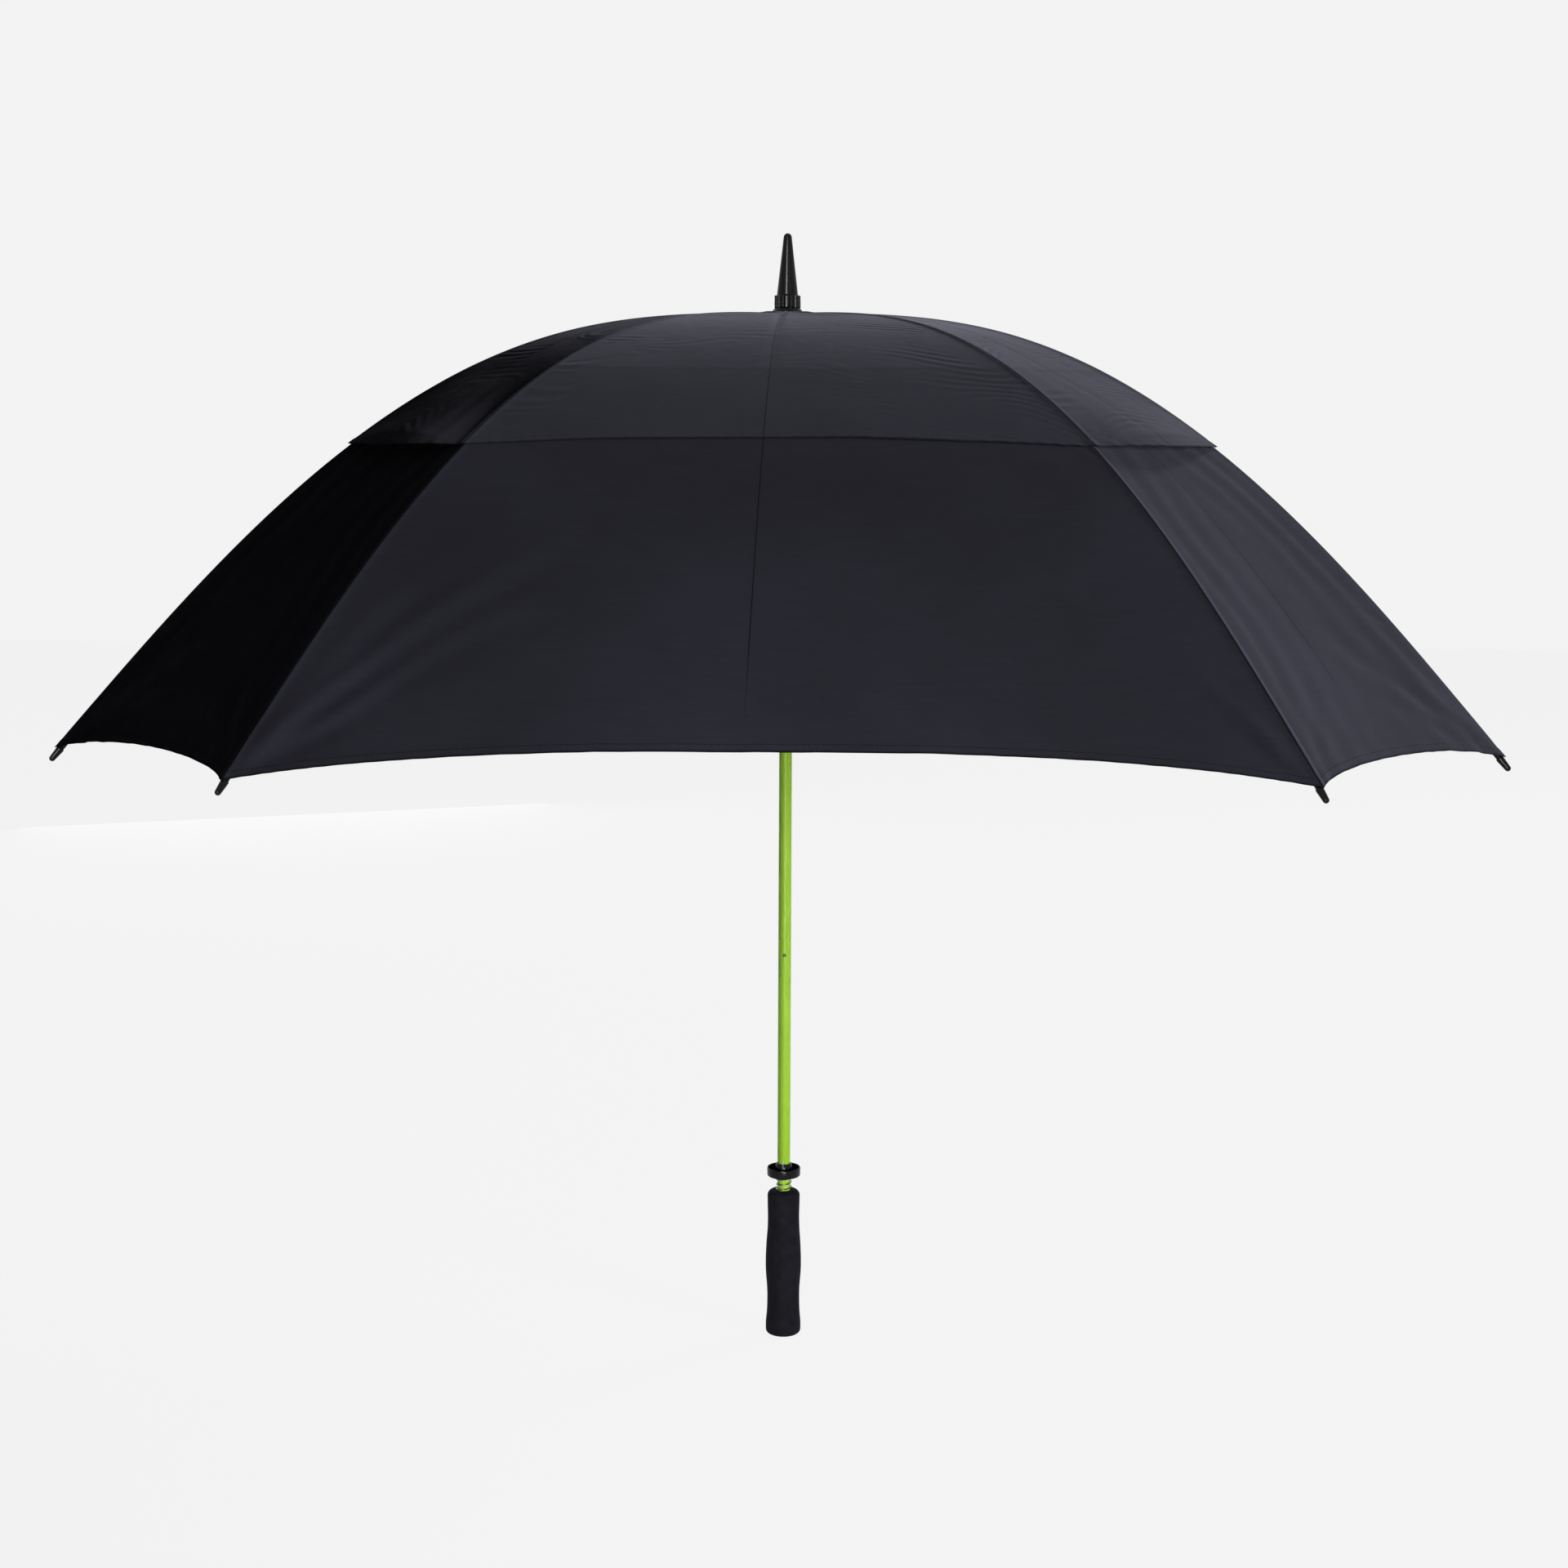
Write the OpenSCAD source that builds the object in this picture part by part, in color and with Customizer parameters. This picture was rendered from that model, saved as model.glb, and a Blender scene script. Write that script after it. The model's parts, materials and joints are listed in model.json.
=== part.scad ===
// Golf umbrella: eight ribs in four close pairs, a vented double canopy and a straight foam grip.
// The origin is the middle of the grip's flat end. +Z runs up the shaft to the ferrule's tip,
// and a wide panel of the canopy faces -Y. All sizes are millimetres.

/* [Canopy] */
// Height of the cover's crown above the grip's flat end
crown_z = 970; // [960:1:980]
// Length of the cover along a rib, from the crown to the corner on the rib's tip
cover_len = 795; // [780:1:800]
// Angle between the two ribs of a pair, seen from above
pair_angle = 20.8; // [19:0.1:26]
// Slope of the cover at the crown, in degrees below level
crown_slope = 1.6; // [0:0.1:4]
// Sharpest bend of a rib, in degrees for each millimetre
bend_rate = 0.114; // [0.09:0.001:0.12]
// Distance from the crown to the sharpest bend
bend_peak = 235; // [180:5:300]
// Length of the upper cover along a rib, from the crown to its hem
vent_len = 455; // [400:5:500]
// Distance along a rib from the crown to the lower cover's inner edge
lower_start = 328; // [310:2:360]
// Thickness of the cloth
cloth_t = 0.6; // [0.4:0.1:0.8]
// Gap between the ribs and the cloth
cloth_gap = 0.6; // [0.5:0.1:0.8]
// Gap between the two covers over a rib
vent_gap = 1.2; // [1:0.1:2]
// How far the hem of a wide panel is cut back at its middle
wide_cut = 25; // [10:1:40]
// How far the hem of a narrow panel is cut back at its middle
narrow_cut = 15; // [8:1:25]
// How far the upper cover's hem is cut back in a wide panel
wide_vent_cut = 11; // [5:1:20]
// How far the upper cover's hem is cut back in a narrow panel
narrow_vent_cut = 6; // [3:1:12]
// How far a wide panel sinks below the straight line between its ribs
wide_sag = 8; // [0:0.5:12]
// How far a narrow panel sinks below the straight line between its ribs
narrow_sag = 2.5; // [0:0.5:4]
// How far the upper cover's hem stands off the lower cover at the middle of a wide panel
wide_lift = 5; // [2:0.5:10]
// How far the upper cover's hem stands off the lower cover at the middle of a narrow panel
narrow_lift = 10; // [4:0.5:14]

/* [Ribs and stretchers] */
// Diameter of a rib
rib_d = 4; // [3.4:0.1:4.2]
// Diameter of a stretcher
stretcher_d = 3.4; // [3:0.1:3.6]
// Distance along a rib from the crown to the stretcher's joint
joint_at = 291; // [270:1:300]
// Depth of the stretcher's pin below the rib's middle line
joint_drop = 9; // [8:0.5:10]
// Diameter of the stretcher's pin
joint_pin_d = 1.6; // [1.4:0.1:2]
// Diameter of a rib tip where the cloth ends
tip_d = 6; // [5.6:0.1:6.2]
// Diameter of a rib tip's rounded end
tip_end_d = 4.2; // [3.6:0.1:4.4]
// Length of a rib tip beyond the cloth
tip_len = 13; // [8:0.5:16]

/* [Hubs] */
// Height of the ring wire that the ribs turn on
hub_z = 963; // [961:0.5:964]
// Radius of the ring wires
ring_r = 14; // [13.5:0.5:15]
// Diameter of the ring wires
ring_wire_d = 1.2; // [1:0.1:1.2]
// Outer radius of the slotted hubs
hub_r = 17.2; // [16.8:0.1:17.4]
// Thickness of the flat eyes on the ribs and stretchers
eye_t = 1.9; // [1.6:0.1:2]
// Width of the hub slots
slot_w = 2.6; // [2.5:0.1:2.8]

/* [Shaft] */
// Outer diameter of the shaft
shaft_d = 12; // [11.6:0.1:12]
// Bore of the shaft
shaft_bore = 9; // [8.6:0.1:9]
// Height of the shaft's lower end inside the grip
shaft_foot = 8; // [6:1:20]
// Height of the shaft's upper end inside the ferrule
shaft_top = 984; // [980:1:986]
// Diameter of the spring catches
catch_d = 3; // [2.6:0.1:3.4]
// How far a spring catch stands out of the shaft
catch_out = 2.2; // [1.8:0.1:2.4]

/* [Runner] */
// Length of the runner's sleeve below its ring wire
sleeve_len = 84; // [78:1:90]
// Depth of the catch window below the runner's ring wire
window_drop = 72; // [66:1:74]
// Height of the runner's collar above its ring wire
collar_h = 10; // [8:1:14]

/* [Tip cup and spring] */
// Height of the cup's underside
cup_z = 157; // [155:0.5:160]
// Outer diameter of the cup's rim
cup_d = 30.4; // [29:0.2:32]
// Height of the cup's wall
cup_h = 8.5; // [7:0.5:10]
// Wire diameter of the spring under the cup
spring_wire_d = 1.2; // [1:0.1:1.3]
// Outer diameter of the spring
spring_d = 15.2; // [15:0.1:16]
// Turns of the spring
spring_turns = 2.7; // [2.2:0.1:4]

/* [Grip] */
// Height of the grip
grip_h = 143; // [141:0.5:145]
// Radius near the grip's flat end
grip_foot_r = 15.6; // [15:0.1:16]
// Radius of the grip's waist
grip_waist_r = 15; // [14.5:0.1:15.5]
// Radius of the grip's swell
grip_swell_r = 15.8; // [15.5:0.1:16.5]
// Radius of the grip's neck
grip_neck_r = 14.4; // [13.8:0.1:15]

/* [Ferrule] */
// Height of the ferrule's tip above the grip's flat end
ferrule_tip_z = 1040; // [1030:1:1050]
// Radius of the flange on the cloth
flange_r = 13.4; // [12.8:0.1:14]
// Radius of the fluted collar
flute_r = 12.2; // [11.6:0.1:12.4]
// Radius at the foot of the tapered tip
taper_r = 9.1; // [8.6:0.1:9.6]
// Radius at the top of the tapered tip
taper_top_r = 3.6; // [3:0.1:4.2]

/* [Hidden] */
$fn = 64;
small_fn = 24;
clear = 0.3;
running = 0.1;
fit = 0.08;

// The bearing of each rib, turned from -Y towards +X. Odd ribs have their pair mate on the next
// bearing up, so the narrow panel lies on that side of them.
near_pair = 45 - pair_angle / 2;
bearings = [for (quarter = [0:3]) for (side = [-1, 1]) 45 + 90 * quarter + side * pair_angle / 2];
wide_half = near_pair;
narrow_half = pair_angle / 2;

// The cover's line over a rib is an elastic curve, kept as short arcs that join smoothly.
arcs = 16;
arc_len = cover_len / arcs;
function bend_rule(s) = s < bend_peak
    ? crown_slope + bend_rate * s * s / (2 * bend_peak)
    : crown_slope + bend_rate * (bend_peak / 2 + s - bend_peak
        - pow(s - bend_peak, 2) / (2 * (cover_len - bend_peak)));
slopes = [for (i = [0:arcs]) [i * arc_len, bend_rule(i * arc_len)]];
function slope(s) = lookup(s, slopes);

// Radius and height of that line, summed along it in short steps.
steps = 400;
step_len = cover_len / steps;
radii = [for (i = 0, r = 0; i <= steps;
    r = r + step_len * cos(slope((i + 0.5) * step_len)), i = i + 1) [i * step_len, r]];
drops = [for (i = 0, d = 0; i <= steps;
    d = d + step_len * sin(slope((i + 0.5) * step_len)), i = i + 1) [i * step_len, d]];
function cover_r(s) = lookup(s, radii);
function cover_z(s) = crown_z - lookup(s, drops);

// A point under the cover's line, at a depth square to it, as radius and height.
function under(s, depth) = [
    cover_r(s) - depth * sin(slope(s)),
    cover_z(s) - depth * cos(slope(s))
];

// Pivots as radius and height. The stretcher is as long as the rib's inner part, and both hubs
// have the same ring radius, so the runner moves straight along the shaft.
rib_depth = cloth_t + cloth_gap + rib_d / 2;
rib_start = 20;
crown_pivot = [ring_r, hub_z];
joint_pivot = under(joint_at, rib_depth + joint_drop);
runner_pivot = [ring_r, 2 * joint_pivot[1] - hub_z];
link_len = norm(joint_pivot - crown_pivot);
tip_end = under(cover_len, rib_depth)
    + tip_len * [cos(slope(cover_len)), -sin(slope(cover_len))];

// The ribs fold until each tip hangs straight below its pivot.
fold_angle = 90 - atan2(hub_z - tip_end[1], tip_end[0] - ring_r);
link_angle = atan2(hub_z - joint_pivot[1], joint_pivot[0] - ring_r);
runner_low_z = hub_z - 2 * link_len * sin(link_angle + fold_angle);

shaft_r = shaft_d / 2;
hub_bore_r = shaft_r + running;
hub_tube_r = 9.2;
hub_half = 4.5;
slot_root_r = 9.6;
eye_r = 2.6;
groove_w = ring_wire_d + 0.1;
neck_len = 9;

runner_foot_z = runner_pivot[1] - sleeve_len;
open_catch_z = runner_foot_z - clear - catch_d / 2;
closed_catch_z = runner_low_z - window_drop;
window_w = 3.8;
window_h = 9;

grip_foot_round = 5;
grip_top_round = 5.5;
grip_waist_z = 51;
grip_swell_z = 83;
grip_neck_z = 110;

cup_wall = 1.2;
cup_floor_t = 1.6;
cup_boss_r = 8.4;
cup_boss_top_r = 7.2;
cup_boss_z = 169.6;
stop_pin_d = 2.4;
stop_pin_z = 171.2;
stop_pin_out = 0.9;

flange_z = crown_z + 0.4;
flange_t = 4.5;
collar_t = 10;
flutes = 24;
flute_bump_r = 0.9;

// ---- Shared shapes ----

// Places a child that is drawn in the plane of +X and +Z on rib i.
module at_rib(i) {
    rotate([0, 0, bearings[i - 1] - 90]) children();
}

// A flat bar with round ends between two points of the rib's plane.
module flat_bar(from, to, width, thick) {
    run = to - from;
    rotate([90, 0, 0]) linear_extrude(thick, center = true) {
        translate(from) circle(d = width, $fn = small_fn);
        translate(to) circle(d = width, $fn = small_fn);
        translate(from) rotate(atan2(run[1], run[0])) translate([0, -width / 2])
            square([norm(run), width]);
    }
}

// A hole across the rib's plane.
module cross_hole(at, d) {
    translate([at[0], 0, at[1]]) rotate([90, 0, 0]) cylinder(d = d, h = 12, center = true);
}

// A round bar swept along the rib's middle line as one closed skin, with a ring at each station.
module rib_bar(stations) {
    sides = 12;
    last = len(stations) - 1;
    points = [for (s = stations) let (mid = under(s, rib_depth))
        for (m = [0:sides - 1])
            let (side = rib_d / 2 * sin(360 * m / sides), up = rib_d / 2 * cos(360 * m / sides))
            [mid[0] + up * sin(slope(s)), side, mid[1] + up * cos(slope(s))]];
    skin = [for (k = [0:last - 1]) for (m = [0:sides - 1])
        let (a = k * sides + m, b = k * sides + (m + 1) % sides)
        each [[a, b, a + sides], [b, b + sides, a + sides]]];
    ends = [[for (m = [sides - 1:-1:0]) m], [for (m = [0:sides - 1]) last * sides + m]];
    polyhedron(points, concat(skin, ends));
}

// A slotted ring that holds the flat eyes on its wire.
module slotted_ring(z) {
    difference() {
        translate([0, 0, z - hub_half]) cylinder(r = hub_r, h = 2 * hub_half);
        for (i = [1:8]) at_rib(i)
            translate([slot_root_r, -slot_w / 2, z - hub_half - 1])
                cube([hub_r, slot_w, 2 * hub_half + 2]);
        translate([0, 0, z - groove_w / 2]) difference() {
            cylinder(r = hub_r + 1, h = groove_w);
            translate([0, 0, -1]) cylinder(r = ring_r - groove_w / 2, h = groove_w + 2);
        }
    }
}

module ring_wire(z) {
    translate([0, 0, z]) rotate_extrude() translate([ring_r, 0])
        circle(d = ring_wire_d, $fn = small_fn);
}

// ---- Shaft and what is fixed on it ----

module shaft() {
    color("#9bcc42") difference() {
        translate([0, 0, shaft_foot]) cylinder(d = shaft_d, h = shaft_top - shaft_foot);
        translate([0, 0, shaft_foot - 1]) cylinder(d = shaft_bore, h = shaft_top);
        for (z = [open_catch_z, closed_catch_z])
            translate([0, 0, z]) rotate([90, 0, 0]) cylinder(d = catch_d + 2 * fit, h = shaft_d);
        translate([0, 0, stop_pin_z]) rotate([90, 0, 0])
            cylinder(d = stop_pin_d, h = 2 * shaft_d, center = true);
    }
}

// A pin across the shaft that keeps the cup down on its spring.
module cup_stop_pin() {
    half = shaft_r + stop_pin_out;
    color("#c8c8c6") translate([0, 0, stop_pin_z]) rotate([90, 0, 0])
        cylinder(d = stop_pin_d, h = 2 * half, center = true);
}

// Radius of the grip between its rounded ends.
function ease(a, b, t) = a + (b - a) * (1 - cos(180 * min(max(t, 0), 1))) / 2;
function grip_r(z) = z < grip_waist_z
    ? ease(grip_foot_r, grip_waist_r, z / grip_waist_z)
    : z < grip_swell_z
        ? ease(grip_waist_r, grip_swell_r, (z - grip_waist_z) / (grip_swell_z - grip_waist_z))
        : ease(grip_swell_r, grip_neck_r, (z - grip_swell_z) / (grip_neck_z - grip_swell_z));

module grip() {
    foot_r = grip_foot_r - grip_foot_round;
    top_r = grip_neck_r - grip_top_round;
    outline = [
        [0, 0],
        for (a = [-90:15:-15]) [foot_r, grip_foot_round] + grip_foot_round * [cos(a), sin(a)],
        for (z = [grip_foot_round:5:grip_neck_z + 5]) [grip_r(z), z],
        for (a = [0:15:90])
            [top_r, grip_h - grip_top_round] + grip_top_round * [cos(a), sin(a)],
        [0, grip_h]
    ];
    color("#1a1a20") difference() {
        rotate_extrude() polygon(outline);
        translate([0, 0, shaft_foot]) cylinder(d = shaft_d, h = grip_h);
    }
}

module crown_notch() {
    color("#17171a") difference() {
        union() {
            slotted_ring(hub_z);
            translate([0, 0, hub_z - 2 * hub_half - neck_len])
                cylinder(r = hub_tube_r, h = 2 * hub_half + neck_len);
        }
        translate([0, 0, hub_z - 3 * neck_len]) cylinder(r = shaft_r, h = 5 * neck_len);
    }
}

module crown_wire() {
    color("#b9b9b6") ring_wire(hub_z);
}

module ferrule() {
    collar_z = flange_z + flange_t;
    taper_z = collar_z + collar_t;
    color("#121214") difference() {
        union() {
            translate([0, 0, flange_z]) cylinder(r = flange_r, h = flange_t);
            translate([0, 0, collar_z]) cylinder(r = flute_r - 0.6, h = collar_t);
            for (k = [0:flutes - 1]) rotate([0, 0, k * 360 / flutes])
                translate([flute_r - flute_bump_r, 0, collar_z])
                    cylinder(r = flute_bump_r, h = collar_t, $fn = small_fn);
            translate([0, 0, taper_z])
                cylinder(r1 = taper_r, r2 = taper_top_r, h = ferrule_tip_z - taper_top_r - taper_z);
            translate([0, 0, ferrule_tip_z - taper_top_r]) sphere(r = taper_top_r);
        }
        translate([0, 0, flange_z - 1]) cylinder(d = shaft_d, h = shaft_top + 1 - flange_z + 0.5);
    }
}

// A round spring catch, which the thumb presses flush into the shaft.
module spring_catch(z) {
    dome_r = catch_d / 2;
    foot_y = shaft_bore / 2 - 2.4;
    color("#c8c8c6") translate([0, 0, z]) rotate([90, 0, 0]) {
        translate([0, 0, foot_y])
            cylinder(d = catch_d, h = shaft_r + catch_out - dome_r - foot_y, $fn = small_fn);
        translate([0, 0, shaft_r + catch_out - dome_r]) sphere(d = catch_d, $fn = small_fn);
        translate([0, 0, foot_y]) cylinder(d = catch_d + 1.4, h = 1, $fn = small_fn);
    }
}

module open_catch() {
    spring_catch(open_catch_z);
}

module closed_catch() {
    spring_catch(closed_catch_z);
}

// ---- Runner ----

module runner() {
    z = runner_pivot[1];
    color("#17171a") difference() {
        union() {
            slotted_ring(z);
            translate([0, 0, runner_foot_z]) cylinder(r = hub_tube_r, h = sleeve_len + collar_h);
            translate([0, 0, runner_foot_z]) cylinder(r = hub_tube_r + 1.6, h = 4);
            translate([0, 0, runner_foot_z + 4])
                cylinder(r1 = hub_tube_r + 1.6, r2 = hub_tube_r, h = 8);
            translate([0, 0, z - hub_half - 6])
                cylinder(r1 = hub_tube_r, r2 = slot_root_r - 0.1, h = 6);
        }
        translate([0, 0, runner_foot_z - 1])
            cylinder(r = hub_bore_r, h = sleeve_len + collar_h + 2);
        translate([-window_w / 2, -2 * hub_tube_r, z - window_drop - window_h / 2])
            cube([window_w, 2 * hub_tube_r, window_h]);
    }
}

module runner_wire() {
    color("#b9b9b6") ring_wire(runner_pivot[1]);
}

// ---- Tip cup and its spring ----

module tip_cup() {
    cup_r = cup_d / 2;
    color("#17171a") difference() {
        union() {
            translate([0, 0, cup_z]) cylinder(r1 = cup_r - 1.6, r2 = cup_r, h = 2);
            translate([0, 0, cup_z + 2]) cylinder(r = cup_r, h = cup_h - 2);
        }
        difference() {
            translate([0, 0, cup_z + cup_floor_t]) cylinder(r = cup_r - cup_wall, h = cup_h);
            cylinder(r = cup_boss_r, h = 2 * cup_z);
        }
        cylinder(r = hub_bore_r, h = 2 * cup_z);
    }
    color("#17171a") difference() {
        translate([0, 0, cup_z + cup_h])
            cylinder(r1 = cup_boss_r, r2 = cup_boss_top_r, h = cup_boss_z - cup_z - cup_h);
        cylinder(r = hub_bore_r, h = 2 * cup_z);
    }
}

// The spring's round wire, swept along a helix as one closed skin.
module cup_spring() {
    sides = 8;
    rings = 64;
    coil_r = (spring_d - spring_wire_d) / 2;
    end_gap = 0.1;
    foot_z = grip_h + end_gap + spring_wire_d / 2;
    rise = cup_z - grip_h - 2 * end_gap - spring_wire_d;
    points = [for (k = [0:rings]) let (turn = 360 * spring_turns * k / rings)
        for (m = [0:sides - 1])
            let (r = coil_r + spring_wire_d / 2 * cos(360 * m / sides))
            [r * cos(turn), r * sin(turn),
             foot_z + rise * k / rings + spring_wire_d / 2 * sin(360 * m / sides)]];
    skin = [for (k = [0:rings - 1]) for (m = [0:sides - 1])
        let (a = k * sides + m, b = k * sides + (m + 1) % sides)
        each [[a, a + sides, b], [b, a + sides, b + sides]]];
    ends = [[for (m = [0:sides - 1]) m], [for (m = [sides - 1:-1:0]) rings * sides + m]];
    color("#c4c4c2") polyhedron(points, concat(skin, ends));
}

// ---- Ribs, tips, brackets and stretchers ----

module rib(i) {
    start = under(rib_start, rib_depth);
    seat = 14;
    knots = [for (k = [1:arcs]) k * arc_len];
    stations = [
        rib_start,
        for (s = knots) if (s < joint_at - seat - 1) s,
        joint_at - seat, joint_at, joint_at + seat,
        for (s = knots) if (s > joint_at + seat + 1) s
    ];
    color("#2a2a2c") at_rib(i) difference() {
        union() {
            flat_bar(crown_pivot, start + [2, 0], 3.2, eye_t);
            translate([crown_pivot[0], 0, crown_pivot[1]]) rotate([90, 0, 0])
                cylinder(r = eye_r, h = eye_t, center = true);
            rib_bar(stations);
        }
        cross_hole(crown_pivot, ring_wire_d + 2 * fit);
    }
}

// The glossy cap on a rib's end. Under the cloth's corner only its lower half goes on, as a
// trough that the rib lies in.
module rib_tip(i) {
    start = under(cover_len, rib_depth);
    hold = 22;
    color("#121214") at_rib(i) translate([start[0], 0, start[1]])
        rotate([0, slope(cover_len), 0]) difference() {
            rotate([0, 90, 0]) union() {
                translate([0, 0, -hold]) cylinder(d = tip_d, h = hold);
                cylinder(d1 = tip_d, d2 = tip_end_d, h = tip_len - tip_end_d / 2);
                translate([0, 0, tip_len - tip_end_d / 2]) sphere(d = tip_end_d);
            }
            translate([-hold - 1, -tip_d, tip_d / 10])
                cube([hold + 1.5, 2 * tip_d, tip_d]);
            translate([-hold - 1, 0, 0]) rotate([0, 90, 0])
                cylinder(d = rib_d + 0.1, h = hold + 1.1);
        }
}

// A clip under the rib with two cheeks and the pin that the stretcher turns on.
module rib_bracket(i) {
    seat = under(joint_at, rib_depth);
    cheek_in = eye_t / 2 + clear;
    cheek_t = 1.2;
    color("#17171a") at_rib(i) translate([seat[0], 0, seat[1]])
        rotate([0, slope(joint_at), 0]) {
            difference() {
                union() {
                    rotate([0, 90, 0]) cylinder(d = rib_d + 2.6, h = 20, center = true);
                    for (side = [-1, 1]) translate([0, side * (cheek_in + cheek_t / 2), 0])
                        flat_bar([0, -rib_d / 2], [0, -joint_drop], 6, cheek_t);
                }
                rotate([0, 90, 0]) cylinder(d = rib_d + 0.2, h = 22, center = true);
                translate([-11, -rib_d, rib_d / 4]) cube([22, 2 * rib_d, rib_d]);
            }
            translate([0, 0, -joint_drop]) rotate([90, 0, 0])
                cylinder(d = joint_pin_d, h = 2 * (cheek_in + cheek_t) + 0.8, center = true);
        }
}

module stretcher(i) {
    along = (joint_pivot - runner_pivot) / link_len;
    rod_from = runner_pivot + neck_len * along;
    rod_to = joint_pivot - neck_len * along;
    tilt = atan2(along[1], along[0]);
    color("#2a2a2c") at_rib(i) difference() {
        union() {
            flat_bar(runner_pivot, rod_from + 3 * along, 3, eye_t);
            flat_bar(joint_pivot, rod_to - 3 * along, 3, eye_t);
            for (end = [runner_pivot, joint_pivot]) translate([end[0], 0, end[1]])
                rotate([90, 0, 0]) cylinder(r = eye_r, h = eye_t, center = true);
            translate([rod_from[0], 0, rod_from[1]]) rotate([0, 90 - tilt, 0])
                cylinder(d = stretcher_d, h = norm(rod_to - rod_from));
        }
        cross_hole(runner_pivot, ring_wire_d + 2 * fit);
        cross_hole(joint_pivot, joint_pin_d + 2 * fit);
    }
}

// ---- Cover ----

// The cloth lies on straight lines between neighbouring ribs, sinks a little between them and is
// cut back at its hem. Each piece here is the part of the sewn cover that one rib carries: half
// of the panel on each side, out to the fold line down the panel's middle. across runs from 0 on
// the rib to 1 on the fold line, and half is the half angle of the panel, negative on the side
// of falling bearings.
function cloth_across(across) = across * (2 - across);
function cloth_out(s, half) =
    [sin(slope(s)) * cos(half), sin(slope(s)) * sin(half), cos(slope(s)) * cos(half)]
    / sqrt(pow(sin(slope(s)), 2) + pow(cos(slope(s)) * cos(half), 2));
function cloth_point(s, across, half, raise) =
    let (reach = across * max(0, 1 - 0.5 / (cover_r(s) * sin(abs(half)))))
    let (out = across == 0 ? [sin(slope(s)), 0, cos(slope(s))] : cloth_out(s, half))
    [cover_r(s) * (1 - reach * pow(sin(half), 2)),
     cover_r(s) * reach * sin(half) * cos(half),
     cover_z(s)] + raise * out;

// One column of points down the cloth, from its inner edge to its hem.
function cloth_column(from, to, cut, sag, lift, base, across, half, rows, skin) =
    let (bow = cloth_across(across))
    [for (k = [0:rows])
        let (s = from + (to - cut * bow - from) * k / rows)
        let (loose = min(1, s / to))
        let (raised = lift * bow * max(0, (s - lower_start) / (to - lower_start)))
        let (stand = base * min(1, s / lower_start))
        cloth_point(s, across, half, stand + raised - sag * bow * loose * loose - skin)];

module cloth_piece(from, to, cuts, sags, lifts, base, flip) {
    rows = 12;
    wide = [1, 0.75, 0.5, 0.25];
    narrow = [0.5, 1];
    columns = concat(
        [for (a = wide) [a, -wide_half, cuts[0], sags[0], lifts[0]]],
        [[0, wide_half, cuts[0], 0, 0]],
        [for (a = narrow) [a, narrow_half, cuts[1], sags[1], lifts[1]]]
    );
    count = len(columns);
    top = [for (c = columns) each cloth_column(from, to, c[2], c[3], c[4], base, c[0], c[1], rows, 0)];
    low = [for (c = columns)
        each cloth_column(from, to, c[2], c[3], c[4], base, c[0], c[1], rows, cloth_t)];
    row_len = rows + 1;
    under_at = count * row_len;
    function quad(a, b, c, d) = [[a, b, c], [a, c, d]];
    faces = [
        for (c = [0:count - 2]) for (k = [0:rows - 1])
            let (a = c * row_len + k, b = a + row_len)
            each concat(quad(a, b, b + 1, a + 1),
                quad(under_at + a, under_at + a + 1, under_at + b + 1, under_at + b)),
        for (k = [0:rows - 1]) let (last = (count - 1) * row_len)
            each concat(quad(k, k + 1, under_at + k + 1, under_at + k),
                quad(last + k + 1, last + k, under_at + last + k, under_at + last + k + 1)),
        for (c = [0:count - 2]) let (a = c * row_len, b = a + row_len)
            each concat(quad(b, a, under_at + a, under_at + b),
                quad(a + rows, b + rows, under_at + b + rows, under_at + a + rows))
    ];
    mirror([0, flip ? 1 : 0, 0]) polyhedron(concat(top, low), faces);
}

// The upper cover runs from under the ferrule and ends in a loose hem over the lower cover.
module vent_cover(i) {
    color("#2c2c34") at_rib(i) cloth_piece(ring_r, vent_len, [wide_vent_cut, narrow_vent_cut],
        [wide_sag / 3, narrow_sag / 3], [wide_lift, narrow_lift], cloth_t + vent_gap, i % 2 == 0);
}

module lower_cover(i) {
    color("#25252e") at_rib(i) cloth_piece(lower_start, cover_len, [wide_cut, narrow_cut],
        [wide_sag, narrow_sag], [0, 0], 0, i % 2 == 0);
}

shaft();
grip();
tip_cup();
cup_spring();
cup_stop_pin();
runner();
runner_wire();
crown_notch();
crown_wire();
ferrule();
open_catch();
closed_catch();
for (i = [1:8]) {
    rib(i);
    rib_tip(i);
    rib_bracket(i);
    stretcher(i);
    lower_cover(i);
    vent_cover(i);
}
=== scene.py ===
import json
import math

import bmesh
import bpy
import numpy as np
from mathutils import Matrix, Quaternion, Vector

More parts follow.
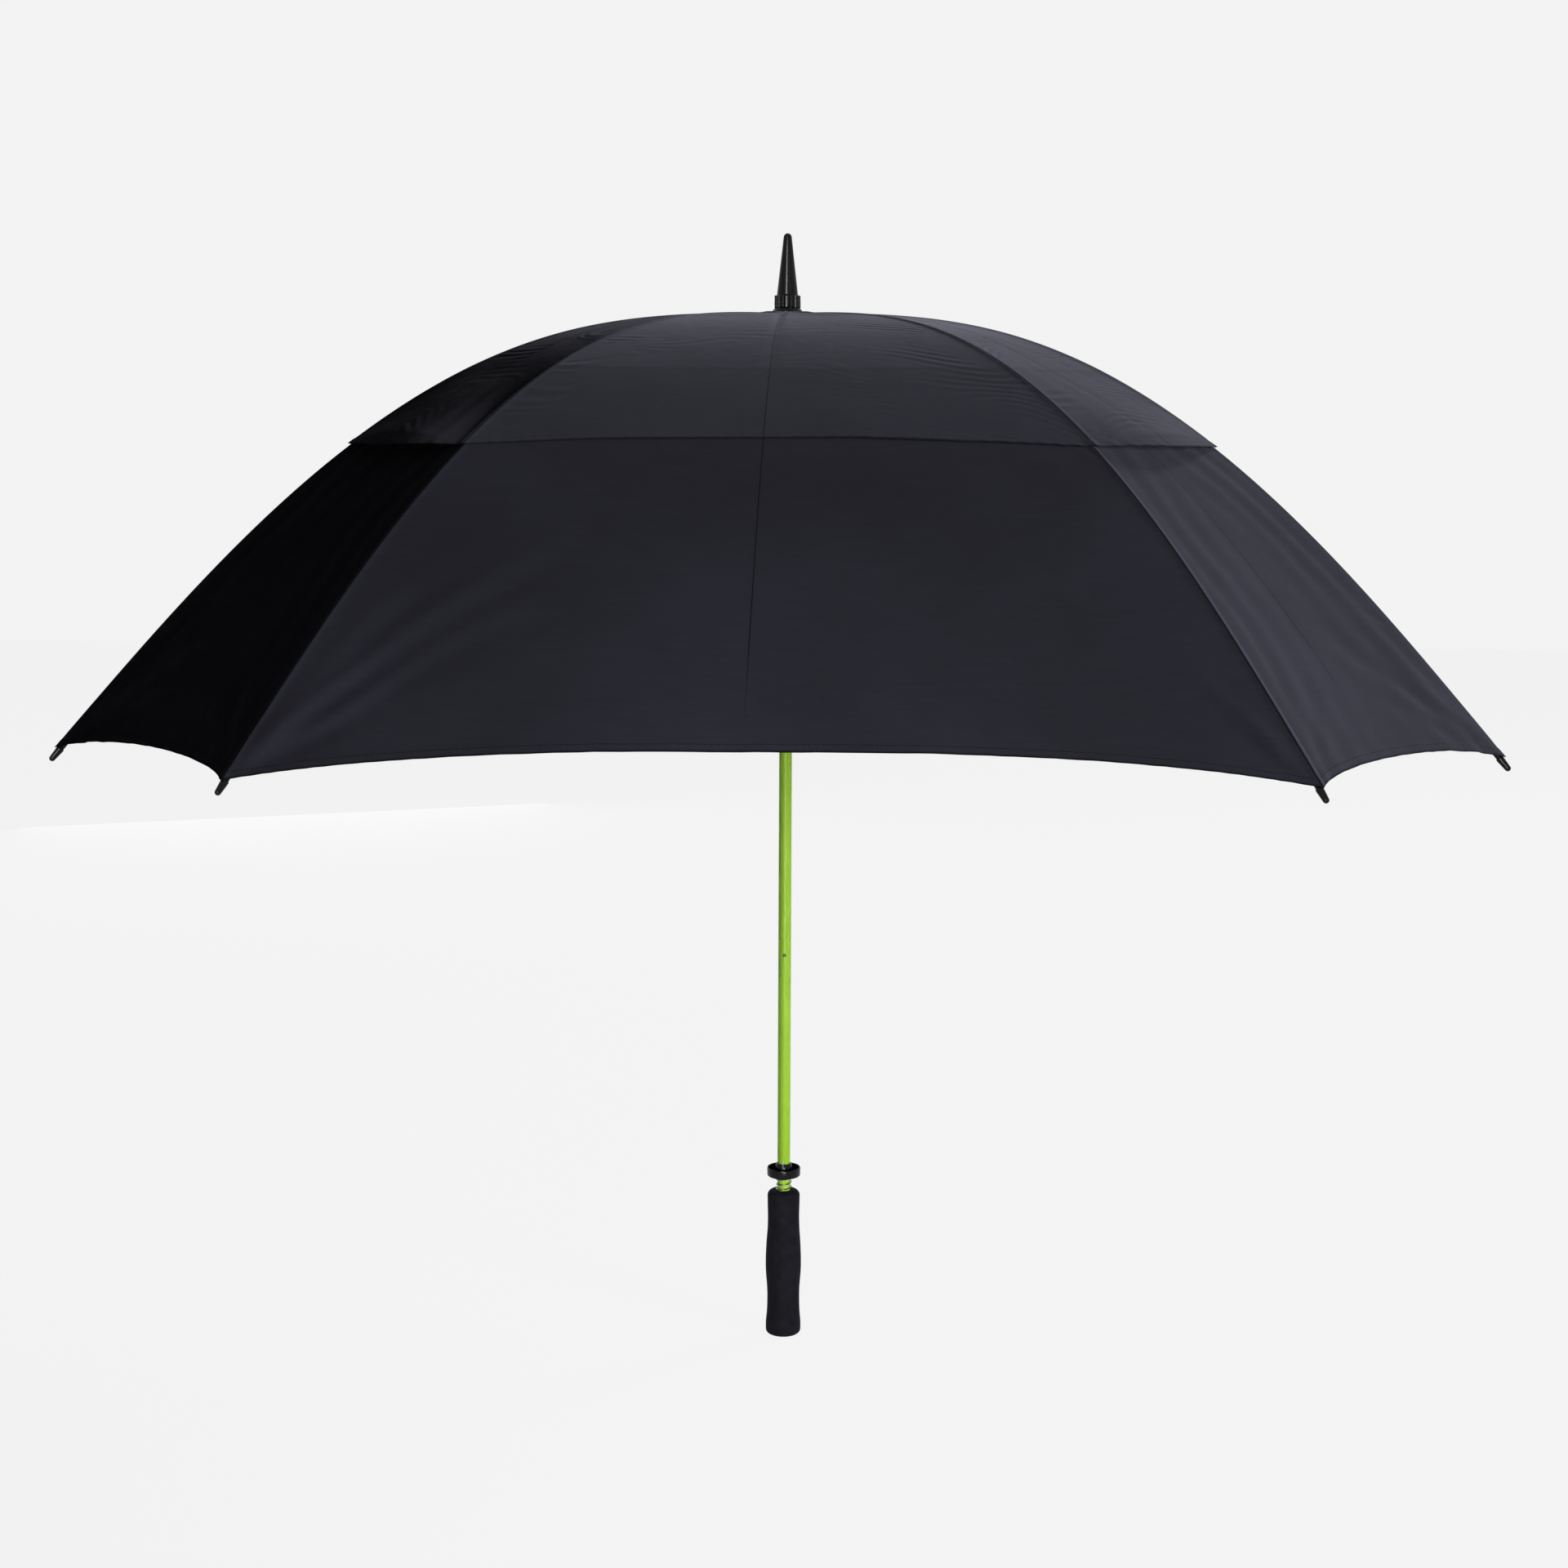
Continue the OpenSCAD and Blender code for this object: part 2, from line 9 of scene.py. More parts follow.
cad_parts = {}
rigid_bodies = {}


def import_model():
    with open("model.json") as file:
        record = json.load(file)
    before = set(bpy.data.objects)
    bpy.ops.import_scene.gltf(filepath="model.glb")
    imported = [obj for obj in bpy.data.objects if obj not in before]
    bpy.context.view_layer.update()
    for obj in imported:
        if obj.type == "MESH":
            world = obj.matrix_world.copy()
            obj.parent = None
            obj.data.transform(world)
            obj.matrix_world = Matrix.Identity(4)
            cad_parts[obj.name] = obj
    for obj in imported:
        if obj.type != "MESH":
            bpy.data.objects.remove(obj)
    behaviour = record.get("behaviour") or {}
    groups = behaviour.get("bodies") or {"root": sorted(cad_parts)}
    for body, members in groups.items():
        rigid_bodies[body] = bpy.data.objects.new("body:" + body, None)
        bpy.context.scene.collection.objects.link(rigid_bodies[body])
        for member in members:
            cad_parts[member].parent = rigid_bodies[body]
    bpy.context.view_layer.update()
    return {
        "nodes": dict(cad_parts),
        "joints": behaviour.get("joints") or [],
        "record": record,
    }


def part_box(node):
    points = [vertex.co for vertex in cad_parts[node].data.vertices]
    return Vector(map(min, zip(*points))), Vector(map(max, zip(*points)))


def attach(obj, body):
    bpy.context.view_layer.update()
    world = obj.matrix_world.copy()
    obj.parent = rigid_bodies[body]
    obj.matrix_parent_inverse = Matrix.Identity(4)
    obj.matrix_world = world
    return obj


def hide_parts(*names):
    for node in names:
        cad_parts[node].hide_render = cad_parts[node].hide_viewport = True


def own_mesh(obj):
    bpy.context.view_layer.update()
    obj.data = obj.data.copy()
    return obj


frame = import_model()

mm = 0.001
fullTurn = 2 * math.pi


# A hex colour's channels, taken from sRGB to linear light.
def linearColour(hexText):
    parts = [int(hexText[k:k + 2], 16) / 255 for k in (0, 2, 4)]
    return tuple(c / 12.92 if c <= 0.04045 else ((c + 0.055) / 1.055) ** 2.4 for c in parts) + (1.0,)


# Adds one node. A setting is a property of the node, or else the value of one of its sockets.
def addNode(tree, kind, settings={}, links={}, out=0):
    made = tree.nodes.new("ShaderNode" + kind)
    for key, value in settings.items():
        if isinstance(key, str) and hasattr(made, key):
            setattr(made, key, value)
        else:
            made.inputs[key].default_value = value
    for key, source in links.items():
        tree.links.new(source, made.inputs[key])
    return made.outputs[out] if len(made.outputs) else made


# An empty material: one Principled shader, with its constants on its own sockets, wired to the output.
def newMaterial(name, constants):
    material = bpy.data.materials.new(name)
    material.use_nodes = True
    tree = material.node_tree
    tree.nodes.clear()
    surface = addNode(tree, "BsdfPrincipled", constants)
    addNode(tree, "OutputMaterial", {}, {"Surface": surface})
    return material, tree, surface.node


# Cloth: dyed polyester pongee, plain woven and calendered. The eye gets a dull blue-black with a faint
# bloom at low angles, a painted highlight on the seam strip beside each rib, stitch lines, and a pressed line down
# each panel with painted shade in it.
clothFinish = {
    # The upper tones are the same cloth painted lighter: painted light for the brighter top of the canopy.
    "lower": ("2E2E36", "363640"), "upper": ("3B3B45", "43434E"), "paintedThroughLight": "4C4C57", "seamHighlight": "41414D",
    "edge": "0B0B12", "thread": "0A0A10", "mottle": 0.16, "slubScale": 22.0, "slubStretch": 14.0,
    "singleEnds": 0.328,  # the lower cover's inner edge, as a distance from the crown along the cloth
    "hemStitch": 6.8 * mm, "seamStrip": 6.0 * mm, "stitchStep": 3.2 * mm, "stitchGap": 0.9 * mm,
    "threadHalf": 0.45 * mm, "ribEdge": (-0.4 * mm, 0.7 * mm), "hemEdge": (0.8 * mm, 2.2 * mm),
    "drift": -0.026, "lineHalf": 0.5 * mm, "lineFades": (0.66, 0.74), "yarn": 0.9 * mm, "crinkle": 16 * mm,
    "weaveHigh": 0.03 * mm, "crinkleHigh": 0.45 * mm, "stitchHigh": -0.25 * mm,
    "shares": {"paintedThroughLight": 0.75, "seamHighlight": 0.5, "rib": 0.8, "hem": 0.8, "line": 0.75, "thread": 0.6},
    "constants": {"Roughness": 0.62, "Specular IOR Level": 0.0, "Sheen Weight": 0.36, "Sheen Roughness": 0.42,
                  "Sheen Tint": linearColour("B4B6C4")},
}


# Colour is a noise mix of two tones, over which painted light on the single layer, a painted highlight on the seam
# strip, each edge, painted shade in the pressed line and the thread lay their own tint by their share.
# Relief is the sum of the weave, the crinkle and the stitches. The maps give the place on the panel: across it and
# down it, then the gap from the nearer rib and the gap from the hem.
def clothMaterial(name, tones):
    facts, shares = clothFinish, clothFinish["shares"]
    material, tree, shader = newMaterial(name, facts["constants"])
    cloth = addNode(tree, "UVMap", {"uv_map": "clothMap"})
    place = addNode(tree, "SeparateXYZ", {}, {0: cloth}).node
    edges = addNode(tree, "SeparateXYZ", {}, {0: addNode(tree, "UVMap", {"uv_map": "edgeMap"})}).node
    x, s, gap, hem = place.outputs[0], place.outputs[1], edges.outputs[0], edges.outputs[1]
    spot = addNode(tree, "TexCoord", out="Object")

    mottle = addNode(tree, "TexNoise", {"Scale": 1 / facts["mottle"], "Detail": 4.0}, {"Vector": spot})
    # The weft runs across the gore, so its slubs are long across and short down it.
    slubPlace = addNode(tree, "Mapping", {"Scale": (1.0, facts["slubStretch"], 1.0)}, {"Vector": cloth})
    slub = addNode(tree, "TexNoise", {"Scale": facts["slubScale"], "Detail": 5.0, "Roughness": 0.7},
                   {"Vector": slubPlace})
    shade = addNode(tree, "Math", {"operation": "MULTIPLY_ADD", 1: 0.45}, {0: slub, 2: mottle})
    shade = addNode(tree, "MapRange", {"From Min": 0.5, "From Max": 0.95}, {"Value": shade})
    colour = addNode(tree, "Mix", {"data_type": "RGBA", 6: linearColour(tones[0]), 7: linearColour(tones[1])},
                     {0: shade}, out=2)

    # Above the lower cover's inner edge the cloth is one layer, and it is painted lighter there: painted light for
    # the light coming through it from below.
    paintedThroughLight = addNode(tree, "MapRange",
                     {"From Min": facts["singleEnds"] - 2 * mm, "From Max": facts["singleEnds"] + 2 * mm,
                      "To Min": shares["paintedThroughLight"], "To Max": 0.0}, {"Value": s})
    # Painted highlight: the seam strip on the narrow panel's side of each rib is painted lighter, where light falls
    # on the seam's ridge.
    stripHalf = facts["seamStrip"] / 2
    seamHighlight = addNode(tree, "Math", {"operation": "COMPARE", 1: stripHalf, 2: stripHalf - 0.3 * mm}, {0: gap})
    seamHighlight = addNode(tree, "Math", {"operation": "MULTIPLY", 1: shares["seamHighlight"]}, {0: seamHighlight})
    rib = addNode(tree, "Math", {"operation": "COMPARE", 1: facts["ribEdge"][0], 2: facts["ribEdge"][1]}, {0: gap})
    rib = addNode(tree, "Math", {"operation": "MULTIPLY", 1: shares["rib"]}, {0: rib})
    hemEdge = addNode(tree, "MapRange",
                      {"From Min": facts["hemEdge"][0], "From Max": facts["hemEdge"][1],
                       "To Min": shares["hem"], "To Max": 0.0}, {"Value": hem})

    # The pressed line drifts sideways as it runs out, and it ends short of the hem. It is painted dark along its
    # middle: painted shade in its crease.
    drifted = addNode(tree, "Math", {"operation": "MULTIPLY_ADD", 1: -facts["drift"]}, {0: s, 2: x})
    line = addNode(tree, "Math", {"operation": "COMPARE", 1: 0.0, 2: facts["lineHalf"]}, {0: drifted})
    lineEnd = addNode(tree, "MapRange",
                      {"From Min": facts["lineFades"][0], "From Max": facts["lineFades"][1],
                       "To Min": shares["line"], "To Max": 0.0}, {"Value": s})
    line = addNode(tree, "Math", {"operation": "MULTIPLY"}, {0: line, 1: lineEnd})

    # Lockstitch beside the hem and the seam, 8 stitches to the inch.
    alongSeam = addNode(tree, "Math", {"operation": "WRAP", 1: facts["stitchStep"], 2: 0.0}, {0: s})
    alongHem = addNode(tree, "Math", {"operation": "WRAP", 1: facts["stitchStep"], 2: 0.0}, {0: x})
    seamDash = addNode(tree, "Math", {"operation": "GREATER_THAN", 1: facts["stitchGap"]}, {0: alongSeam})
    hemDash = addNode(tree, "Math", {"operation": "GREATER_THAN", 1: facts["stitchGap"]}, {0: alongHem})
    onSeam = addNode(tree, "Math", {"operation": "COMPARE", 1: facts["seamStrip"], 2: facts["threadHalf"]}, {0: gap})
    onHem = addNode(tree, "Math", {"operation": "COMPARE", 1: facts["hemStitch"], 2: facts["threadHalf"]}, {0: hem})
    seamDash = addNode(tree, "Math", {"operation": "MULTIPLY"}, {0: seamDash, 1: onSeam})
    hemDash = addNode(tree, "Math", {"operation": "MULTIPLY"}, {0: hemDash, 1: onHem})
    thread = addNode(tree, "Math", {"operation": "MAXIMUM"}, {0: seamDash, 1: hemDash})
    threadShare = addNode(tree, "Math", {"operation": "MULTIPLY", 1: shares["thread"]}, {0: thread})

    layers = ((paintedThroughLight, "paintedThroughLight"), (seamHighlight, "seamHighlight"), (rib, "edge"), (hemEdge, "edge"), (line, "edge"),
              (threadShare, "thread"))
    for share, tint in layers:
        colour = addNode(tree, "Mix", {"data_type": "RGBA", 7: linearColour(facts[tint])},
                         {0: share, 6: colour}, out=2)
    tree.links.new(colour, shader.inputs["Base Color"])

    # Yarn is 0.12 mm apart and is drawn coarser, at 0.9 mm, or it would not show.
    waves = fullTurn / facts["yarn"] / 20  # a wave texture of scale 1 has 20 radians to the metre
    warp, weft = (addNode(tree, "TexWave", {"bands_direction": way, "Scale": waves, "Distortion": 0.3},
                          {"Vector": cloth}, out=1) for way in "XY")
    weave = addNode(tree, "Math", {"operation": "MULTIPLY"}, {0: warp, 1: weft})
    crinkle = addNode(tree, "TexNoise", {"Scale": 1 / facts["crinkle"], "Detail": 4.0}, {"Vector": cloth})
    height = addNode(tree, "Math", {"operation": "MULTIPLY", 1: facts["weaveHigh"]}, {0: weave})
    height = addNode(tree, "Math", {"operation": "MULTIPLY_ADD", 1: facts["crinkleHigh"]}, {0: crinkle, 2: height})
    height = addNode(tree, "Math", {"operation": "MULTIPLY_ADD", 1: facts["stitchHigh"]}, {0: thread, 2: height})
    normal = addNode(tree, "Bump", {"Distance": 1.0, "Strength": 0.7}, {"Height": height})
    tree.links.new(normal, shader.inputs["Normal"])
    return material


# Each hard or foam finish: two tones mottled at a real size, a grain that sets roughness, and its relief.
surfaceFinishes = {
    # Wet lacquer over a fibreglass tube: an even lime with a soft, slightly waved shine.
    "shaft_lacquer": {
        "name": "lacquer_on_fibreglass_sprayed", "tones": ("7DA427", "84A930"), "mottle": 40 * mm,
        "grain": 9 * mm, "relief": 0.01 * mm, "rough": (0.26, 0.32), "stretch": (1, 1, 0.3), "map": None,
        "constants": {"Specular IOR Level": 0.1}},
    # Closed-cell foam, moulded and left matt: tiny pits that swallow the light.
    "grip_foam": {
        "name": "eva_foam_moulded", "tones": ("0B0B10", "121218"), "mottle": 9 * mm,
        "grain": 0.9 * mm, "relief": 0.10 * mm, "rough": (0.78, 0.9), "stretch": (1, 1, 1), "map": None,
        "constants": {"Specular IOR Level": 0.08}},
    # Injection-moulded ABS from a polished mould: near black, with one soft-edged highlight.
    "gloss_black": {
        "name": "abs_moulded_gloss_black", "tones": ("060609", "0D0D12"), "mottle": 7 * mm,
        "grain": 3 * mm, "relief": 0.006 * mm, "rough": (0.17, 0.23), "stretch": (1, 1, 1), "map": None,
        "constants": {"Specular IOR Level": 0.14}},
    # Nylon moulded in a spark-eroded mould: satin black with a fine even pebble.
    "hub_black": {
        "name": "nylon_moulded_satin_black", "tones": ("121215", "1C1C20"), "mottle": 10 * mm,
        "grain": 0.7 * mm, "relief": 0.03 * mm, "rough": (0.4, 0.52), "stretch": (1, 1, 1), "map": None,
        "constants": {"Specular IOR Level": 0.2}},
    # Pultruded fibreglass rod: grey-black with long fine streaks along the fibres.
    "fibreglass": {
        "name": "fibreglass_rod_pultruded", "tones": ("1E1E21", "313136"), "mottle": 4 * mm,
        "grain": 0.6 * mm, "relief": 0.02 * mm, "rough": (0.3, 0.45), "stretch": (1, 0.04, 1), "map": "skinMap",
        "constants": {"Specular IOR Level": 0.25}},
    # Stretchers are the same rod; their faces are the frame's own, so the streaks follow their place.
    "stretcher_rod": {
        "name": "fibreglass_rod_pultruded_stretcher", "tones": ("1E1E21", "313136"), "mottle": 4 * mm,
        "grain": 0.8 * mm, "relief": 0.02 * mm, "rough": (0.3, 0.45), "stretch": (1, 1, 1), "map": None,
        "constants": {"Specular IOR Level": 0.25}},
    # Spring wire and pins, drawn and bright: a hard shine broken by faint draw lines. Their tones are painted darker
    # than bright steel: painted shade, standing in for darker surroundings in the reflection.
    "bright_steel": {
        "name": "spring_steel_drawn_bright_painted_darker", "tones": ("5C5C60", "84848A"), "mottle": 3 * mm,
        "grain": 0.5 * mm, "relief": 0.005 * mm, "rough": (0.2, 0.34), "stretch": (1, 1, 1), "map": None,
        "constants": {"Metallic": 1.0}},
}


# Colour mixes two tones by a coarse noise. Roughness and relief both follow a finer one.
def surfaceMaterial(facts):
    material, tree, shader = newMaterial(facts["name"], facts["constants"])
    if facts["map"]:
        spot = addNode(tree, "UVMap", {"uv_map": facts["map"]})
    else:
        spot = addNode(tree, "TexCoord", out="Object")
    spot = addNode(tree, "Mapping", {"Scale": facts["stretch"]}, {"Vector": spot})
    mottle = addNode(tree, "TexNoise", {"Scale": 1 / facts["mottle"], "Detail": 3.0}, {"Vector": spot})
    grain = addNode(tree, "TexNoise", {"Scale": 1 / facts["grain"], "Detail": 2.0}, {"Vector": spot})
    share = addNode(tree, "MapRange", {"From Min": 0.35, "From Max": 0.65}, {"Value": mottle})
    colour = addNode(tree, "Mix", {"data_type": "RGBA", 6: linearColour(facts["tones"][0]),
                                   7: linearColour(facts["tones"][1])}, {0: share}, out=2)
    rough = addNode(tree, "MapRange", {"From Min": 0.3, "From Max": 0.7, "To Min": facts["rough"][0],
                                       "To Max": facts["rough"][1]}, {"Value": grain})
    normal = addNode(tree, "Bump", {"Distance": facts["relief"]}, {"Height": grain})
    for socket, source in (("Base Color", colour), ("Roughness", rough), ("Normal", normal)):
        tree.links.new(source, shader.inputs[socket])
    return material


# Four corners of every cell of a grid, in the order of the cell's face.
def quadCorners(grid):
    return np.stack([grid[:-1, :-1], grid[1:, :-1], grid[1:, 1:], grid[:-1, 1:]], axis=2)


# Puts points, four-cornered faces and maps with one value for each face corner into a mesh.
def meshObject(name, points, faces, material, maps={}):
    mesh = bpy.data.meshes.new(name)
    mesh.vertices.add(len(points))
    mesh.vertices.foreach_set("co", np.asarray(points, np.float32).ravel())
    mesh.loops.add(faces.size)
    mesh.loops.foreach_set("vertex_index", faces.astype(np.int32).ravel())
    mesh.polygons.add(len(faces))
    mesh.polygons.foreach_set("loop_start", np.arange(0, faces.size, 4, dtype=np.int32))
    mesh.update(calc_edges=True)
    mesh.polygons.foreach_set("use_smooth", np.ones(len(faces), bool))
    for key, values in maps.items():
        mesh.uv_layers.new(name=key).data.foreach_set("uv", values.astype(np.float32).ravel())
    mesh.materials.append(material)
    made = bpy.data.objects.new(name, mesh)
    bpy.context.scene.collection.objects.link(made)
    return made


# A closed skin over rings of points, from pole to pole. Its map runs round each ring and from ring to ring, in
# metres. Points that lie together become one, and edges sharper than the crease angle stay sharp.
def ringSkin(name, rings, material, creaseDegrees=38.0):
    count, around = rings.shape[:2]
    index = np.arange(count * around).reshape(count, around)
    wrapped = np.concatenate([index, index[:, :1]], axis=1)
    closed = np.concatenate([rings, rings[:, :1]], axis=1)
    girth = np.linalg.norm(np.diff(closed, axis=1), axis=2).sum(axis=1).max()
    across = np.broadcast_to(np.linspace(0, girth, around + 1), (count, around + 1))
    steps = np.linalg.norm(np.diff(rings.mean(axis=1), axis=0), axis=1)
    along = np.broadcast_to(np.concatenate([[0], np.cumsum(steps)])[:, None], (count, around + 1))
    skinMap = quadCorners(np.stack([across, along], axis=-1)).reshape(-1, 2)
    faces = quadCorners(wrapped).reshape(-1, 4)
    piece = meshObject(name, rings.reshape(-1, 3), faces, material, {"skinMap": skinMap})
    work = bmesh.new()
    work.from_mesh(piece.data)
    bmesh.ops.remove_doubles(work, verts=work.verts, dist=1e-6)
    bmesh.ops.dissolve_degenerate(work, edges=work.edges, dist=1e-7)
    bmesh.ops.recalc_face_normals(work, faces=work.faces)
    work.to_mesh(piece.data)
    work.free()
    piece.data.set_sharp_from_angle(angle=math.radians(creaseDegrees))
    return piece


# Turns a line of radius and height, in millimetres, about the shaft: x and y are the radius times the cosine and
# sine of the angle. The radius may vary round the turn, as shape(radius, height, angle).
def turnedSkin(name, line, around, material, shape=None):
    line = np.asarray(line, float) * mm
    angle = np.linspace(0, fullTurn, around, endpoint=False)[None, :]
    radius = np.broadcast_to(line[:, :1], (len(line), around))
    if shape:
        radius = shape(radius, line[:, 1:], angle)
    height = np.broadcast_to(line[:, 1:], radius.shape)
    rings = np.stack([radius * np.cos(angle), radius * np.sin(angle), height], axis=-1)
    return ringSkin(name, rings, material)


# A quarter or other arc for a profile: centre plus radius times the cosine and sine of each angle.
def arc(r, z, radius, start, end, count=6):
    turn = np.radians(np.linspace(start, end, count))
    return list(zip(r + radius * np.cos(turn), z + radius * np.sin(turn)))


# Random heights at the corners of square cells, blended smoothly between them. The heights repeat after 64 cells.
def smoothNoise(x, y, cell, seed):
    size = 64
    table = np.random.default_rng(seed).uniform(-1, 1, (size, size))
    gx, gy = x / cell, y / cell
    ix, iy = np.floor(gx).astype(int), np.floor(gy).astype(int)
    fx, fy = gx - ix, gy - iy
    fx, fy = fx * fx * (3 - 2 * fx), fy * fy * (3 - 2 * fy)
    left, right, near, far = ix % size, (ix + 1) % size, iy % size, (iy + 1) % size
    low = table[left, near] * (1 - fx) + table[right, near] * fx
    high = table[left, far] * (1 - fx) + table[right, far] * fx
    return low * (1 - fy) + high * fy


# The canopy's line over a rib: an elastic curve from the crown to the corner, sloping more as it runs out.
ribLine = {"length": 0.795, "slope": 1.6, "bendRate": 114.0, "bendPeak": 0.235, "arcs": 16, "depth": 3.2 * mm}
ribAxes = {int(joint["child"][4:]): Vector(joint["axis"]) for joint in frame["joints"]
           if joint["parent"] == "shaft" and joint["child"].startswith("rib_")}
bearings = {rib: math.atan2(axis.y, axis.x) % fullTurn for rib, axis in ribAxes.items()}
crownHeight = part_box("ferrule")[0].z - 0.4 * mm


# Slope is the running sum of a bend rate that climbs evenly from the crown to its peak and falls evenly to the
# corner. It is read from short straight arcs, and radius and drop are the running sums of its cosine and sine.
def lineTables():
    length, peak = ribLine["length"], ribLine["bendPeak"]
    rate, first = math.radians(ribLine["bendRate"]), math.radians(ribLine["slope"])
    knots = np.linspace(0, length, ribLine["arcs"] + 1)
    inner = first + rate * knots ** 2 / (2 * peak)
    outer = first + rate * (peak / 2 + knots - peak - (knots - peak) ** 2 / (2 * (length - peak)))
    s = np.linspace(0, 1.01 * length, 2021)  # a little past the corner, straight on
    slope = np.interp(s, knots, np.where(knots < peak, inner, outer))
    middle, step = (slope[1:] + slope[:-1]) / 2, s[1]
    radius = np.concatenate([[0], np.cumsum(np.cos(middle) * step)])
    drop = np.concatenate([[0], np.cumsum(np.sin(middle) * step)])
    return s, slope, radius, drop


lineS, lineSlope, lineRadius, lineDrop = lineTables()


# Radius and height of points under the line, at a depth square to it.
def underLine(s, depth):
    slope = np.interp(s, lineS, lineSlope)
    return np.stack([np.interp(s, lineS, lineRadius) - depth * np.sin(slope),
                     crownHeight - np.interp(s, lineS, lineDrop) - depth * np.cos(slope)], axis=-1)


# A cover runs from its start to its end along the cloth. A wide or narrow panel has its own hem cut, with the bow
# of that cut and the nip at its corners, and its own sag and lift.
lowerCover = {
    "name": "lowerCover", "node": "lower_cover", "start": clothFinish["singleEnds"], "end": 0.798, "rows": 190,
    "stand": 0.0,
    "wide": {"cut": 0.031, "bow": 2.8, "nip": 0.0022, "sag": 0.008, "lift": 0.0, "columns": 44},
    "narrow": {"cut": 0.0135, "bow": 2.0, "nip": 0.0045, "sag": 0.0025, "lift": 0.0, "columns": 17},
    "hemWidth": 8.5 * mm, "pucker": 0.25 * mm, "ripple": 0.5 * mm, "flutter": 0.0,
    "waves": {"high": 0.30 * mm, "step": 21 * mm, "lean": 60 * mm, "reach": 36 * mm},
    "parallel": {"high": 1.1 * mm, "step": 28 * mm, "reach": 50 * mm},
}
ventCover = {
    "name": "ventCover", "node": "vent_cover", "start": 0.0126, "end": 0.455, "rows": 220, "stand": 1.8 * mm,
    "wide": {"cut": 0.010, "bow": 2.0, "nip": 0.0010, "sag": 0.0027, "lift": 0.0035, "columns": 42},
    "narrow": {"cut": -0.019, "bow": 1.7, "nip": 0.0004, "sag": 0.0008, "lift": 0.0145, "columns": 17},
    "hemWidth": 7.0 * mm, "pucker": 0.3 * mm, "ripple": 0.35 * mm, "flutter": 0.9 * mm,
    "waves": {"high": 0.42 * mm, "step": 12 * mm, "lean": 33 * mm, "reach": 70 * mm},
    "parallel": {"high": 0.25 * mm, "step": 22 * mm, "reach": 30 * mm},
}
coverCut = {
    "cloth": 0.4 * mm, "seamHigh": 0.9 * mm, "seamHalf": 3.4 * mm, "hemStep": 0.35 * mm,
    "lineDeep": 0.45 * mm, "lineHalf": 2.6 * mm, "drift": clothFinish["drift"],
    "crownHigh": 2.2 * mm, "crownAt": 15 * mm, "crownReach": 13 * mm,  # the cloth swells round the ferrule's flange
    "flangeRadius": 0.0136, "flangeEase": 0.004, "startEase": 0.01,  # and lies flat under it
    "wideFrom": 45, "nipReach": 0.012, "rowLean": 0.05, "liftPower": 1.5, "flutterReach": 0.12,
    "seamGaps": (0, 1, 2, 3, 4.5, 6.5, 9, 12, 16),  # columns beside a rib, in millimetres from it
    "spread": 1.35,  # above one, the other columns stand closer near the ribs
}
# How the small relief is laid out: where it begins beside a rib, how the two halves of a panel differ, and the size
# of its noise cells with their seeds.
reliefShape = {
    "hold": 0.018, "waveStart": 0.005, "sides": (0.31, 0.77), "sideStep": 0.05, "sideLean": (0.4, 0.6),
    "patchGain": 1.5, "fineShare": 0.5, "waveWander": 1.6, "runWander": 0.35, "hemReach": 1.7,
    "puckerStep": 0.013, "puckerWander": 3,
    "ripple": (0.06, 23), "fineRipple": (0.03, 5), "patch": (0.03, 61), "wave": (0.05, 41), "run": (0.11, 17),
    "pucker": (0.05, 7), "flutter": (0.07, 90),
}
# Long soft folds that fan out of a corner, by its rib and the side they lie on (1 is the rising bearing). Each fold
# is its angle from the rib in degrees, its height in millimetres and its reach in metres.
cornerFolds = {
    (8, 1): ((9, 1.4, 0.33), (20, 3.4, 0.29), (33, 2.6, 0.25), (45, 1.2, 0.17)),
    (1, -1): ((22, 2.6, 0.13), (36, 1.2, 0.18), (48, 0.7, 0.12)),
    (8, -1): ((22, 1.5, 0.14), (46, 1.5, 0.12), (60, 0.9, 0.10)),
    (1, 1): ((20, 1.2, 0.13), (46, 0.8, 0.10)),
    "other": ((14, 1.0, 0.24), (25, 2.2, 0.20), (40, 1.4, 0.16)),
}
foldShape = {
    "start": 0.045, "bend": 18.0, "wander": 3.0, "wanderCell": 0.08, "wanderSeeds": 31, "fade": 0.8,
    "half": 5.5 * mm, "spread": 0.05, "valley": 0.75, "valleyAt": 1.7,
}


